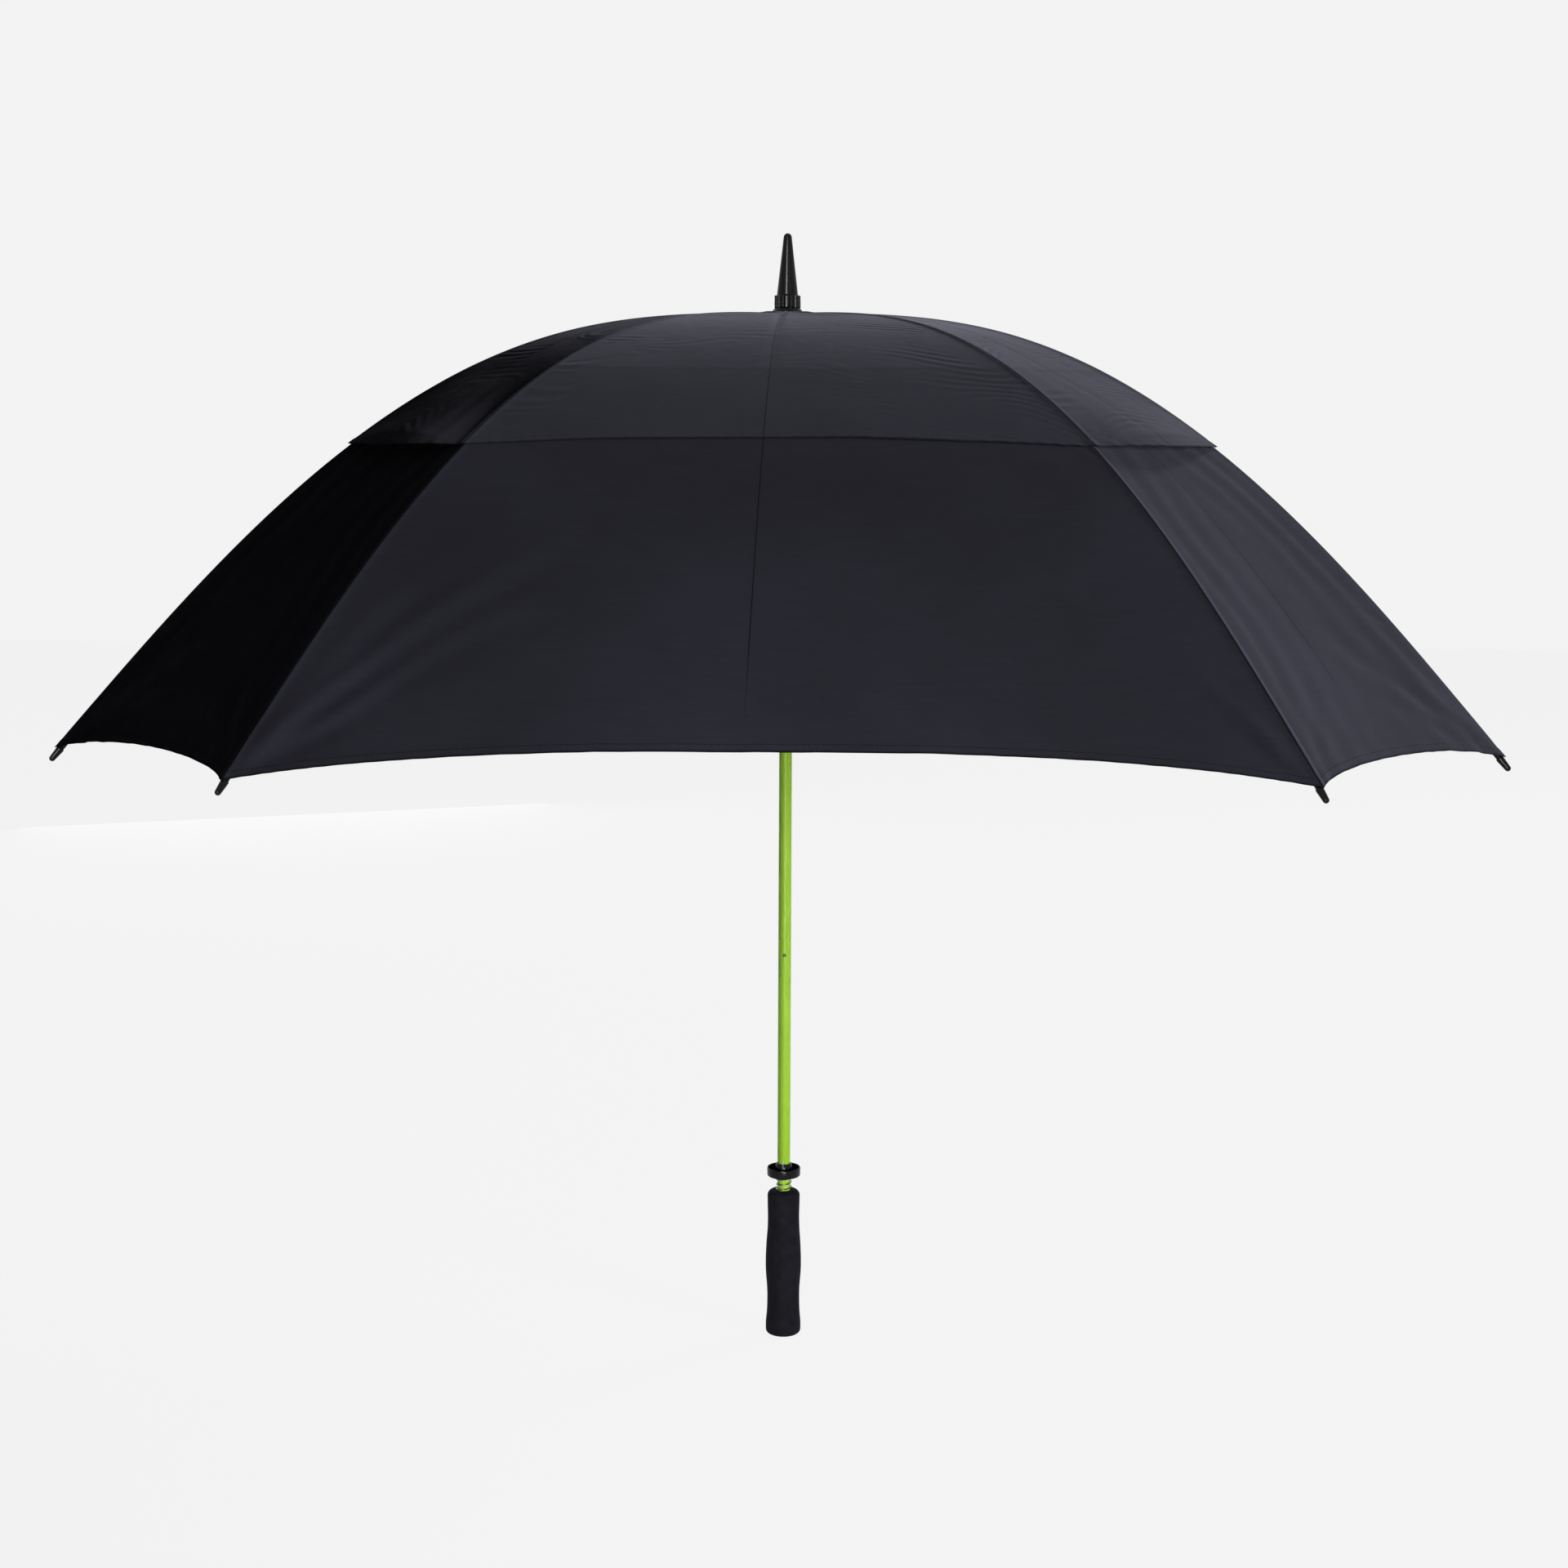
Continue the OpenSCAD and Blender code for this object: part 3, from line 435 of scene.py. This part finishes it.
# Out-of-plane height of the cloth. Seam and hem are ridges, the pressed line is a valley, and the folds are sine
# waves or narrow humps that die away from what pulls them. Low is the number of the panel's lower rib.
def clothRelief(cover, s, x, gap, hemGap, low, wide):
    shape, waves = reliefShape, cover["waves"]

    def noise(first, second, key, more=0):
        cell, seed = shape[key]
        return smoothNoise(first, second, cell, seed + more)

    hold = 1 - np.exp(-(gap / shape["hold"]) ** 2)
    out = coverCut["seamHigh"] * np.exp(-(gap / coverCut["seamHalf"]) ** 2)
    out -= coverCut["lineDeep"] * np.exp(-((x - coverCut["drift"] * s) / coverCut["lineHalf"]) ** 2) * hold
    ripple = noise(s, x, "ripple", low) + shape["fineShare"] * noise(s, x, "fineRipple", low)
    out += cover["ripple"] * ripple * hold

    side = np.where(x < 0, *shape["sides"]) + shape["sideStep"] * low
    leanS, leanSide = shape["sideLean"]
    patch = np.clip(shape["patchGain"] * noise(s + leanS * gap, side + leanSide * gap, "patch"), 0, 1)
    phase = s / waves["step"] + gap / waves["lean"] + shape["waveWander"] * noise(s, gap + side, "wave")
    start = 1 - np.exp(-(gap / shape["waveStart"]) ** 2)
    out += waves["high"] * np.sin(fullTurn * phase) * np.exp(-gap / waves["reach"]) * patch * start
    if not wide:
        run = cover["parallel"]
        phase = gap / run["step"] + shape["runWander"] * noise(s, x, "run", low)
        out += run["high"] * np.sin(fullTurn * phase) * np.exp(-gap / run["reach"]) * hold
    if cover is lowerCover:
        out += cornerRelief(s, x, gap, low, low % 8 + 1)

    hemShare = np.clip(1 - hemGap / (shape["hemReach"] * cover["hemWidth"]), 0, 1)
    phase = fullTurn * x / shape["puckerStep"] + shape["puckerWander"] * noise(x, s, "pucker")
    out += cover["pucker"] * np.sin(phase) * hemShare
    out += coverCut["hemStep"] / 2 * (1 - np.tanh((hemGap - cover["hemWidth"]) / mm))
    return out


# Each fold is a ridge with a valley beside it. Both are bell curves of the distance from the fold's line, and they
# widen as they leave the corner.
def cornerRelief(s, x, gap, low, high):
    shape = foldShape
    out = np.zeros_like(s)
    back = np.maximum(ribLine["length"] - s, 0)
    reach, angle = np.hypot(gap, back), np.degrees(np.arctan2(gap, back))
    half = shape["half"] + shape["spread"] * reach
    for rib, side, here in ((low, 1, x <= 0), (high, -1, x >= 0)):
        for k, (middle, height, length) in enumerate(cornerFolds.get((rib, side), cornerFolds["other"])):
            seed = shape["wanderSeeds"] * rib + k
            wander = shape["wander"] * smoothNoise(reach, reach * 0, shape["wanderCell"], seed)
            away = reach * np.radians(angle - middle - shape["bend"] * reach - wander)
            fade = np.clip(reach / shape["start"], 0, 1) ** 2
            fade = fade * np.clip(1 - reach / length, 0, 1) ** shape["fade"] * here
            valley = np.exp(-((away - shape["valleyAt"] * half) / half) ** 2)
            out += height * mm * fade * (np.exp(-(away / half) ** 2) - shape["valley"] * valley)
    return out


# One panel between two ribs, as rows from the crown outward and columns from rib to rib. A column's place across is
# its gap from the nearer rib. The panel's flat surface is lifted or sunk along its normal. It gives the points, then
# the two maps that the cloth's material reads.
def panelGrid(cover, low):
    high = low % 8 + 1
    span = (bearings[high] - bearings[low]) % fullTurn
    half, wide = span / 2, span > math.radians(coverCut["wideFrom"])
    cut = cover["wide" if wide else "narrow"]
    middle = bearings[low] + half
    outward = np.array([math.sin(middle), -math.cos(middle), 0.0])
    sideways = np.array([math.cos(middle), math.sin(middle), 0.0])

    beside = np.array(coverCut["seamGaps"]) * mm
    limits = np.linspace(0, 0.5, len(beside))
    evenly = np.linspace(0, 1, cut["columns"] + 1)[1:] ** coverCut["spread"]

    def gaps(width):  # width has a last axis of one, or of one value for each column
        near = np.minimum(beside, limits * width[..., :len(beside)])
        edge = np.minimum(beside[-1], limits[-1] * width[..., -len(evenly):])
        return np.concatenate([near, edge + (width[..., -len(evenly):] - edge) * evenly], axis=-1)

    count = len(beside) + len(evenly)
    hemWidth = np.full((1, count), np.interp(cover["end"], lineS, lineRadius) * math.sin(half))
    hemGaps = gaps(hemWidth)[0]
    bow = 1 - (1 - hemGaps / hemWidth[0]) ** cut["bow"]
    hemS = cover["end"] - cut["cut"] * bow - cut["nip"] * (1 - np.exp(-hemGaps / coverCut["nipReach"]))
    t = np.linspace(0, 1, cover["rows"])
    t = t + coverCut["rowLean"] * np.sin(np.pi * t) * t
    s = cover["start"] + np.outer(t, hemS - cover["start"])
    halfWidth = np.interp(s, lineS, lineRadius) * math.sin(half)
    gap = gaps(halfWidth)

    def both(values):  # the low rib's half, then the high rib's half turned round
        return np.concatenate([values, values[:, -2::-1]], axis=1)

    x = np.concatenate([gap - halfWidth, (halfWidth - gap)[:, -2::-1]], axis=1)
    s, gap, halfWidth = both(s), both(gap), both(halfWidth)
    hemGap = both(hemS[None, :] - s[:, :count])
    slope = np.interp(s, lineS, lineSlope)
    radius = np.interp(s, lineS, lineRadius)
    bow = 1 - (1 - gap / halfWidth) ** 2
    upright = (np.cos(slope) * math.cos(half))[..., None] * np.array([0, 0, 1.0])
    normal = np.sin(slope)[..., None] * outward + upright
    normal /= np.linalg.norm(normal, axis=-1, keepdims=True)
    start, end = lowerCover["start"], cover["end"]
    lifted = cut["lift"] * bow * np.clip((s - start) / (end - start), 0, 1) ** coverCut["liftPower"]
    out = cover["stand"] * np.clip(s / start, 0, 1) + lifted - cut["sag"] * bow * (s / end) ** 2
    out += clothRelief(cover, s, x, gap, hemGap, low, wide)
    cell, seed = reliefShape["flutter"]
    nearHem = np.clip(1 - hemGap / coverCut["flutterReach"], 0, 1)
    out += cover["flutter"] * smoothNoise(x, s, cell, seed + low) * bow * nearHem
    if cover is ventCover:
        out *= np.clip((s - cover["start"]) / coverCut["startEase"], 0, 1)
    points = (radius * math.cos(half))[..., None] * outward + x[..., None] * sideways
    points[..., 2] = crownHeight - np.interp(s, lineS, lineDrop)
    rise = coverCut["crownHigh"] * np.exp(-((radius - coverCut["crownAt"]) / coverCut["crownReach"]) ** 2)
    points[..., 2] += rise * np.clip((radius - coverCut["flangeRadius"]) / coverCut["flangeEase"], 0, 1)
    return points + out[..., None] * normal, np.stack([x, s], axis=-1), np.stack([gap, hemGap], axis=-1)


# A gore is the cloth that one rib carries, from the middle of one panel to the middle of the next. It is a closed
# shell: the ring of panels gives its top and its normals, the bottom lies one cloth thickness below, and a rim joins
# them.
def buildCover(cover, material):
    ribs = list(range(1, 9))
    panels = {rib: panelGrid(cover, rib) for rib in ribs}
    ring = np.concatenate([panels[rib][0][:, :-1] for rib in ribs], axis=1)
    across = np.roll(ring, -1, axis=1) - np.roll(ring, 1, axis=1)
    normals = np.cross(np.gradient(ring, axis=0), across)
    normals /= np.linalg.norm(normals, axis=-1, keepdims=True)
    starts = np.cumsum([0] + [panels[rib][0].shape[1] - 1 for rib in ribs])
    made = []
    for rib in ribs:
        last = (rib - 2) % 8 + 1
        before, after = panels[last][0].shape[1] // 2, panels[rib][0].shape[1] // 2
        columns = np.arange(starts[rib - 1] - before, starts[rib - 1] + after + 1) % ring.shape[1]
        top, normal = ring[:, columns], normals[:, columns]
        rows, count = top.shape[:2]
        size = rows * count
        index = np.arange(size).reshape(rows, count)
        border = np.concatenate([index[:, 0], index[-1, 1:], index[-2::-1, -1], index[0, -2::-1]])
        rim = np.stack([border[1:], border[:-1], border[:-1] + size, border[1:] + size], axis=-1)
        upper = quadCorners(index).reshape(-1, 4)
        faces = np.concatenate([upper, upper[:, ::-1] + size, rim])
        maps = {}
        for key, which in (("clothMap", 1), ("edgeMap", 2)):
            left = panels[last][which][:, -before - 1:].copy()
            right = panels[rib][which][:, :after + 1].copy()
            if which == 2 and rib % 2:
                left[..., 0] *= -1  # a gap counts as negative on the wide panel's side
            elif which == 2:
                right[..., 0] *= -1
            cells = np.concatenate([quadCorners(left), quadCorners(right)], axis=1).reshape(-1, 4, 2)
            flat = np.concatenate([left[:, :-1], right], axis=1).reshape(-1, 2)
            maps[key] = np.concatenate([cells, cells[:, ::-1], flat[rim % size]]).reshape(-1, 2)
        points = np.concatenate([top.reshape(-1, 3), (top - coverCut["cloth"] * normal).reshape(-1, 3)])
        piece = meshObject(f"{cover['name']}_{rib}", points, faces, material, maps)
        smooth = np.arange(len(faces)) < 2 * len(upper)
        piece.data.polygons.foreach_set("use_smooth", smooth)
        flatNormal = normal.reshape(-1, 3)
        corners = np.concatenate([flatNormal[upper], -flatNormal[upper[:, ::-1]], np.zeros((len(rim), 4, 3))])
        piece.data.normals_split_custom_set(corners.reshape(-1, 3).tolist())
        made.append((rib, piece, top))
    return made


# Each gore of the cover is built, hung from its own rib, and shown in place of the frame's cover node there.
def dressCover(cover, material):
    for rib, piece, top in buildCover(cover, material):
        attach(piece, f"rib_{rib}")
        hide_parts(f"{cover['node']}_{rib}")
        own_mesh(piece)


# The rod's pivot is a radius and a height, and its start and end are distances along the cloth. The tip's line holds
# distances along the tip, with the radius there, in millimetres.
ribRod = {
    "pivot": (14.0 * mm, 963.0 * mm), "radius": 2.0 * mm, "start": 0.022, "end": 0.793, "around": 20,
    "eyeHigh": 2.6 * mm, "eyeWide": 0.95 * mm, "neckHigh": 2.3 * mm, "roundAfter": 0.012,
    "eyeShares": (-1.0, -1.0, -0.97, -0.85, -0.6, -0.3, 0.0, 0.6), "closeRows": (0.035, 8), "farRows": (0.045, 90),
}
ribTip = {
    "line": [(-9.0, 0.0), (-9.0, 2.3), (0.1, 2.35), (0.35, 2.75), (0.9, 2.98), (2.0, 2.95)],
    "endRadius": 2.35, "length": 13.0, "around": 40,
}


# Rings square to a path in one rib's upright plane. Half sizes are given in that plane and across it.
def planeRings(rib, path, tangent, high, wide, around):
    outward = np.array([math.sin(bearings[rib]), -math.cos(bearings[rib]), 0.0])
    sideways = np.array([math.cos(bearings[rib]), math.sin(bearings[rib]), 0.0])
    upright = np.array([0, 0, 1.0])
    angle = np.linspace(0, fullTurn, around, endpoint=False)
    centre = path[:, :1] * outward + path[:, 1:] * upright
    normal = -tangent[:, 1:] * outward + tangent[:, :1] * upright
    return (centre[:, None] + (high[:, None] * np.cos(angle))[..., None] * normal[:, None]
            + (wide[:, None] * np.sin(angle))[..., None] * sideways)


# A rib is a rod along the canopy's line whose inner end flattens into an eye on the crown wire. The eye's outline is
# an ellipse along the run from the pivot, and the rod's half sizes grow evenly from it. The tip is a turned cap.
def dressRib(rib, rod, tip):
    pivot, shares = np.array(ribRod["pivot"]), np.array(ribRod["eyeShares"])
    first = underLine(np.array([ribRod["start"]]), ribLine["depth"])[0]
    run = first - pivot
    run /= np.linalg.norm(run)
    (closeEnd, closeCount), (farStart, farCount) = ribRod["closeRows"], ribRod["farRows"]
    s = np.concatenate([np.linspace(ribRod["start"], closeEnd, closeCount),
                        np.linspace(farStart, ribRod["end"], farCount)])
    path = np.concatenate([pivot + shares[:, None] * ribRod["eyeHigh"] * run, underLine(s, ribLine["depth"])])
    path = np.concatenate([path, path[-1:]])
    tangent = np.gradient(np.concatenate([path[1:-1], path[-2:-1] * 2 - path[-3:-2]]), axis=0)
    tangent = np.concatenate([tangent[:1], tangent])
    tangent = tangent / np.linalg.norm(tangent, axis=1, keepdims=True)
    eyeHigh = ribRod["eyeHigh"] * np.sqrt(np.clip(1.04 - np.minimum(shares, 0) ** 2, 0, 1))
    eyeHigh[0], eyeHigh[-1] = 0.0, ribRod["neckHigh"]
    thin, full = ribRod["eyeWide"], ribRod["radius"]
    grow = np.clip((s - ribRod["start"]) / ribRod["roundAfter"], 0, 1)
    high = np.concatenate([eyeHigh, np.full(len(s), full), [0.0]])
    wide = np.concatenate([[0.0], np.full(len(shares) - 1, thin), thin + (full - thin) * grow, [0.0]])
    piece = ringSkin(f"ribRod_{rib}", planeRings(rib, path, tangent, high, wide, ribRod["around"]), rod)
    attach(piece, f"rib_{rib}")
    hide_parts(f"rib_{rib}")

    corner = underLine(np.array([ribLine["length"]]), ribLine["depth"])[0]
    ahead = np.array([[math.cos(lineSlope[-1]), -math.sin(lineSlope[-1])]])
    ball = ribTip["endRadius"]
    line = np.array(ribTip["line"] + arc(ribTip["length"] - ball, 0, ball, 90, 0, 9)) * mm
    path = corner + line[:, :1] * ahead
    tangent = np.repeat(ahead, len(line), axis=0)
    rings = planeRings(rib, path, tangent, line[:, 1], line[:, 1], ribTip["around"])
    piece = ringSkin(f"ribCap_{rib}", rings, tip)
    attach(piece, f"rib_{rib}")
    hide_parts(f"rib_tip_{rib}")


# The ferrule is turned: a flange on the cloth, a collar with grooves, and a straight taper with a round tip. The line
# starts inside the bore and runs down it, round the flange and up the outside.
ferrule = {
    "grooves": 14, "deep": 1.0 * mm, "half": 0.6 * mm, "from": 975.2 * mm, "to": 986.2 * mm,
    "collar": 12, "outside": 11 * mm, "around": 280,
}
ferruleLine = (
    [(0, 984.5), (6.05, 984.5), (6.05, 970.4), (12.6, 970.4)] + arc(12.9, 971.2, 0.8, -90, 0, 4)
    + [(13.6, 972.0), (13.2, 973.2), (12.8, 974.1), (12.0, 974.6), (11.8, 974.9), (12.1, 975.3), (12.2, 976.0),
       (12.2, 979.0), (12.05, 984.6)]
    + arc(11.1, 985.6, 1.0, 0, 90, 5)
    + [(9.95, 986.6), (9.7, 987.0), (9.6, 987.8), (6.8, 1012.0), (4.95, 1028.0)]
    + arc(0, 1038.4, 3.8, 8, 90, 10)
)


# Grooves lower the collar's radius by a narrow bell curve of the arc to the nearest groove.
def groovedRadius(radius, height, angle):
    spacing = fullTurn / ferrule["grooves"]
    away = np.abs((angle + spacing / 2) % spacing - spacing / 2) * ferrule["collar"] * mm
    inside = (height > ferrule["from"]) & (height < ferrule["to"]) & (radius > ferrule["outside"])
    return radius - inside * ferrule["deep"] * np.exp(-(away / ferrule["half"]) ** 2)


# The tip cup is turned: a boss that runs on the shaft, the well for the rib tips, a rounded rim and an eased foot.
tipCupLine = (
    [(6.1, 169.2)] + arc(6.6, 169.1, 0.5, 180, 90, 3) + arc(6.8, 169.2, 0.4, 90, 10, 3)
    + [(8.3, 165.6), (8.4, 160.0)] + arc(9.2, 159.4, 0.8, 180, 270, 4) + arc(13.8, 159.6, 1.0, -90, 0, 5)
    + [(14.85, 164.6)] + arc(15.4, 165.0, 0.5, 170, 20, 6) + [(16.0, 164.6), (15.9, 160.2)]
    + arc(14.2, 158.7, 1.7, 0, -90, 6) + [(8.6, 157.0), (6.5, 157.0)] + arc(6.5, 157.4, 0.4, -90, -180, 3)
    + [(6.1, 169.2)]
)
tipCupAround = 96

# The grip's half widths up its length, in millimetres, and how far its moulded skin wanders.
grip = {
    "heights": (0, 11, 19, 28, 38, 46, 60, 68, 78, 92, 104, 116, 128, 143),
    "radii": (16.7, 16.9, 16.1, 15.6, 15.5, 15.7, 16.8, 17.1, 17.0, 16.3, 15.4, 15.1, 15.4, 15.6),
    "high": 143, "smoothing": 6, "foot": 4.0, "top": 5.5, "sides": (6, 136, 2),
    "bore": 6.05, "boreFoot": 8.0, "mouth": (0.5, 0.4),
    "wander": 0.16 * mm, "grain": (16, 9), "cell": 14 * mm, "seed": 3, "outside": 9 * mm,
    "around": 128, "fill": 0.95,
}


# The outline is a run of half widths, averaged under a raised cosine, between a rounded foot and a rounded top. It
# closes along the bore, whose mouth is eased.
def gripLine():
    high, smoothing = grip["high"], grip["smoothing"]
    z = np.linspace(0, high, high + 1)
    rough = np.interp(z, grip["heights"], grip["radii"])
    kernel = np.hanning(2 * smoothing + 1)
    radii = np.convolve(np.pad(rough, smoothing, mode="edge"), kernel / kernel.sum(), mode="valid")
    foot, top, bore, boreFoot = grip["foot"], grip["top"], grip["bore"], grip["boreFoot"]
    mouthWide, mouthDeep = grip["mouth"]
    side = [(radii[k], z[k]) for k in range(*grip["sides"])]
    return ([(0, 8), (0, 0), (4, 0), (8, 0)] + arc(radii[4] - foot, foot, foot, -90, -5, 8) + side
            + arc(radii[high - 4] - top, high - top, top, 5, 90, 9)
            + [(bore + mouthWide, high), (bore, high - mouthDeep), (bore, boreFoot), (0, boreFoot)])


# Outside the bore, the foam's radius wanders by a smooth noise of the place round the grip and up it.
def softRadius(radius, height, angle):
    grainRound, grainUp = grip["grain"]
    across = np.cos(angle) * grainRound * mm + 1
    upward = height + np.sin(angle) * grainUp * mm + 1
    wander = smoothNoise(across, upward, grip["cell"], grip["seed"])
    return radius + grip["wander"] * wander * (radius > grip["outside"])


# The cup's spring, in millimetres. Its wire lies level at each end, for the share of its length that "level" gives.
cupSpring = {
    "wire": 0.55, "coil": 7.0, "low": 143.7, "high": 156.3, "turns": 3.4, "begin": 0.15, "level": 0.11,
    "steps": 260, "around": 10, "keep": 0.43,
}


# Round rings along a helix: its x and y are the coil's radius times the cosine and sine of the angle, and its height
# climbs evenly between the level ends. Each ring stands upright in the plane through the shaft.
def springRings():
    t = np.linspace(0, 1, cupSpring["steps"])
    climb = np.clip((t - cupSpring["level"]) / (1 - 2 * cupSpring["level"]), 0, 1)
    height = (cupSpring["low"] + (cupSpring["high"] - cupSpring["low"]) * climb) * mm
    angle = fullTurn * (cupSpring["turns"] * t + cupSpring["begin"])
    radius, wire = cupSpring["coil"] * mm, cupSpring["wire"] * mm
    centre = np.stack([radius * np.cos(angle), radius * np.sin(angle), height], axis=-1)
    outward = np.stack([np.cos(angle), np.sin(angle), 0 * angle], axis=-1)
    thick = np.full(len(t), wire)
    thick[[0, -1]] = 0
    turn = np.linspace(0, fullTurn, cupSpring["around"], endpoint=False)
    return (centre[:, None] + thick[:, None, None] * (np.cos(turn)[None, :, None] * outward[:, None]
            + np.sin(turn)[None, :, None] * np.array([0, 0, 1.0])))


# "Seen" is the share of plain paper colour that the camera and a gloss see over the lit floor, and "ambient" is the
# strength of the sky's light on the object.
backdrop = {
    "reach": 8.0, "cells": 16, "colour": "C8C9C8", "paper": "F9FAF9", "sky": "F2F3F2", "seen": 0.92, "ambient": 0.03,
}


# Seamless pale paper, rolled matt: it gives no shine, and it shows nearly white wherever the camera or a gloss sees
# it, with the object's shadow still on it.
def backdropMaterial():
    constants = {"Base Color": linearColour(backdrop["colour"]), "Roughness": 1.0, "Specular IOR Level": 0.0}
    material, tree, shader = newMaterial("paper_rolled_matt_white", constants)
    glow = addNode(tree, "Emission", {"Color": linearColour(backdrop["paper"])})
    seen = addNode(tree, "Math", {"operation": "MULTIPLY", 1: backdrop["seen"]}, {0: seenRay(tree)})
    both = addNode(tree, "MixShader", {}, {0: seen, 1: shader.outputs[0], 2: glow})
    output = [node for node in tree.nodes if node.bl_idname == "ShaderNodeOutputMaterial"][0]
    tree.links.new(both, output.inputs["Surface"])
    return material


# One where the ray comes from the camera, a gloss or a clear body, and else zero.
def seenRay(tree):
    ray = addNode(tree, "LightPath").node
    shine = addNode(tree, "Math", {"operation": "MAXIMUM"},
                    {0: ray.outputs["Is Glossy Ray"], 1: ray.outputs["Is Transmission Ray"]})
    return addNode(tree, "Math", {"operation": "MAXIMUM"}, {0: ray.outputs["Is Camera Ray"], 1: shine})


# The paper is level, a square around the shaft's foot: x and y both run from minus the reach to the reach.
def makeStage():
    line = np.linspace(-backdrop["reach"], backdrop["reach"], backdrop["cells"] + 1)
    y, x = np.meshgrid(line, line, indexing="ij")
    index = np.arange(x.size).reshape(x.shape)
    points = np.stack([x, y, np.zeros_like(x)], axis=-1).reshape(-1, 3)
    faces = quadCorners(index).reshape(-1, 4)[:, ::-1]  # turned to face upwards
    meshObject("studioPaper", points, faces, backdropMaterial())


# Each lamp's place, what it aims at, width and height in metres, watts, spread in degrees, and whether it lights
# colour, gloss or both.
lights = {
    "rightSoftbox": ((3.4, 2.7, 2.9), (0.0, 0.0, 0.85), (1.1, 1.1), 90.0, 180, "colour"),
    "frontRightSoftbox": ((2.95, -2.25, 0.95), (0.0, 0.0, 0.7), (0.8, 0.8), 104.0, 180, "colour"),
    "lowFill": ((0.15, -1.6, 0.12), (0.0, 0.0, 0.14), (0.4, 0.4), 3.2, 60, "both"),
    "stripGlint": ((-0.52, -3.0, 1.3), (0.0, 0.0, 0.7), (0.35, 1.8), 95.0, 180, "gloss"),
    "sideGlint": ((1.6, -2.4, 1.4), (0.0, 0.0, 0.7), (0.5, 1.2), 2.0, 180, "gloss"),
    "backFill": ((-1.2, 3.2, 0.6), (0.0, 0.0, 0.6), (1.2, 1.2), 14.0, 180, "both"),
}


# Each lamp is a rectangle that looks along the line from its place to its target. The sky is a flat colour that is
# seen at full strength and lights the object at the ambient one.
def makeLights():
    for name, (place, target, sides, watts, spread, use) in lights.items():
        lamp = bpy.data.lights.new(name, "AREA")
        lamp.shape, lamp.energy, lamp.spread = "RECTANGLE", watts, math.radians(spread)
        lamp.size, lamp.size_y = sides
        made = bpy.data.objects.new(name, lamp)
        made.location = place
        made.rotation_mode = "QUATERNION"
        made.rotation_quaternion = (Vector(target) - Vector(place)).to_track_quat("-Z", "Y")
        made.visible_diffuse, made.visible_glossy = use != "gloss", use != "colour"
        bpy.context.scene.collection.objects.link(made)
    world = bpy.data.worlds.new("studioWhite")
    world.use_nodes = True
    tree = world.node_tree
    sky = tree.nodes["Background"]
    sky.inputs[0].default_value = linearColour(backdrop["sky"])
    strength = addNode(tree, "MapRange", {"To Min": backdrop["ambient"], "To Max": 1.0},
                       {"Value": seenRay(tree)})
    tree.links.new(strength, sky.inputs[1])
    bpy.context.scene.world = world


# Lens and sensor in millimetres, place in metres, turns in degrees.
camera = {
    "lens": 54.6, "sensor": 36.0, "farEnd": 50, "place": (0.044, -2.209, 0.8516),
    "down": 8.11, "yaw": 1.175, "roll": 0.24,
}


# The camera looks level along +Y, then turns down, round and about its own line of sight.
def makeCamera():
    lens = bpy.data.cameras.new("studioCamera")
    lens.lens, lens.sensor_width, lens.clip_end = camera["lens"], camera["sensor"], camera["farEnd"]
    made = bpy.data.objects.new("studioCamera", lens)
    made.location = camera["place"]
    made.rotation_mode = "QUATERNION"
    yaw = Quaternion((0, 0, 1), math.radians(camera["yaw"]))
    down = Quaternion((1, 0, 0), math.radians(90 - camera["down"]))
    made.rotation_quaternion = yaw @ down @ Quaternion((0, 0, 1), math.radians(camera["roll"]))
    bpy.context.scene.collection.objects.link(made)
    bpy.context.scene.camera = made


bpy.context.scene.view_settings.view_transform = "Standard"
makeStage()
makeLights()
makeCamera()
print("stage, lights and camera")

# The vent cover takes the same cloth painted lighter: painted light for the brighter top of the canopy.
lowerCloth = clothMaterial("pongee_polyester_woven_dyed", clothFinish["lower"])
ventClothPaintedLighter = clothMaterial("pongee_polyester_woven_dyed_painted_lighter", clothFinish["upper"])
finishes = {key: surfaceMaterial(facts) for key, facts in surfaceFinishes.items()}
finishes["cover"] = lowerCloth
for part in frame["record"]["subparts"]:  # every node takes its slot's finish, and stretchers their own
    cadNode = frame["nodes"][part["node"]]
    key = "stretcher_rod" if part["material_slot"] == "fibreglass" else part["material_slot"]
    cadNode.data.materials.clear()
    cadNode.data.materials.append(finishes[key])
print("finishes")

dressCover(lowerCover, lowerCloth)
dressCover(ventCover, ventClothPaintedLighter)
print("lower and upper covers")

for number in range(1, 9):
    dressRib(number, finishes["fibreglass"], finishes["gloss_black"])
print("ribs and rib tips")

turned = [  # name, line, points round it, finish and slot, body, node it stands for, shape round the turn
    ("ferruleCap", ferruleLine, ferrule["around"], "gloss_black", "shaft", "ferrule", groovedRadius),
    ("tipCup", tipCupLine, tipCupAround, "gloss_black", "cup", "tip_cup", None),
    ("foamGrip", gripLine(), grip["around"], "grip_foam", "shaft", "grip", softRadius),
]
for name, line, around, key, body, node, shape in turned:
    piece = turnedSkin(name, line, around, finishes[key], shape)
    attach(piece, body)
    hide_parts(node)
print("ferrule, tip cup and grip")

spring = ringSkin("cupSpring", springRings(), finishes["bright_steel"])
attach(spring, "shaft")
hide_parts("cup_spring")
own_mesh(spring)
print("cup spring")
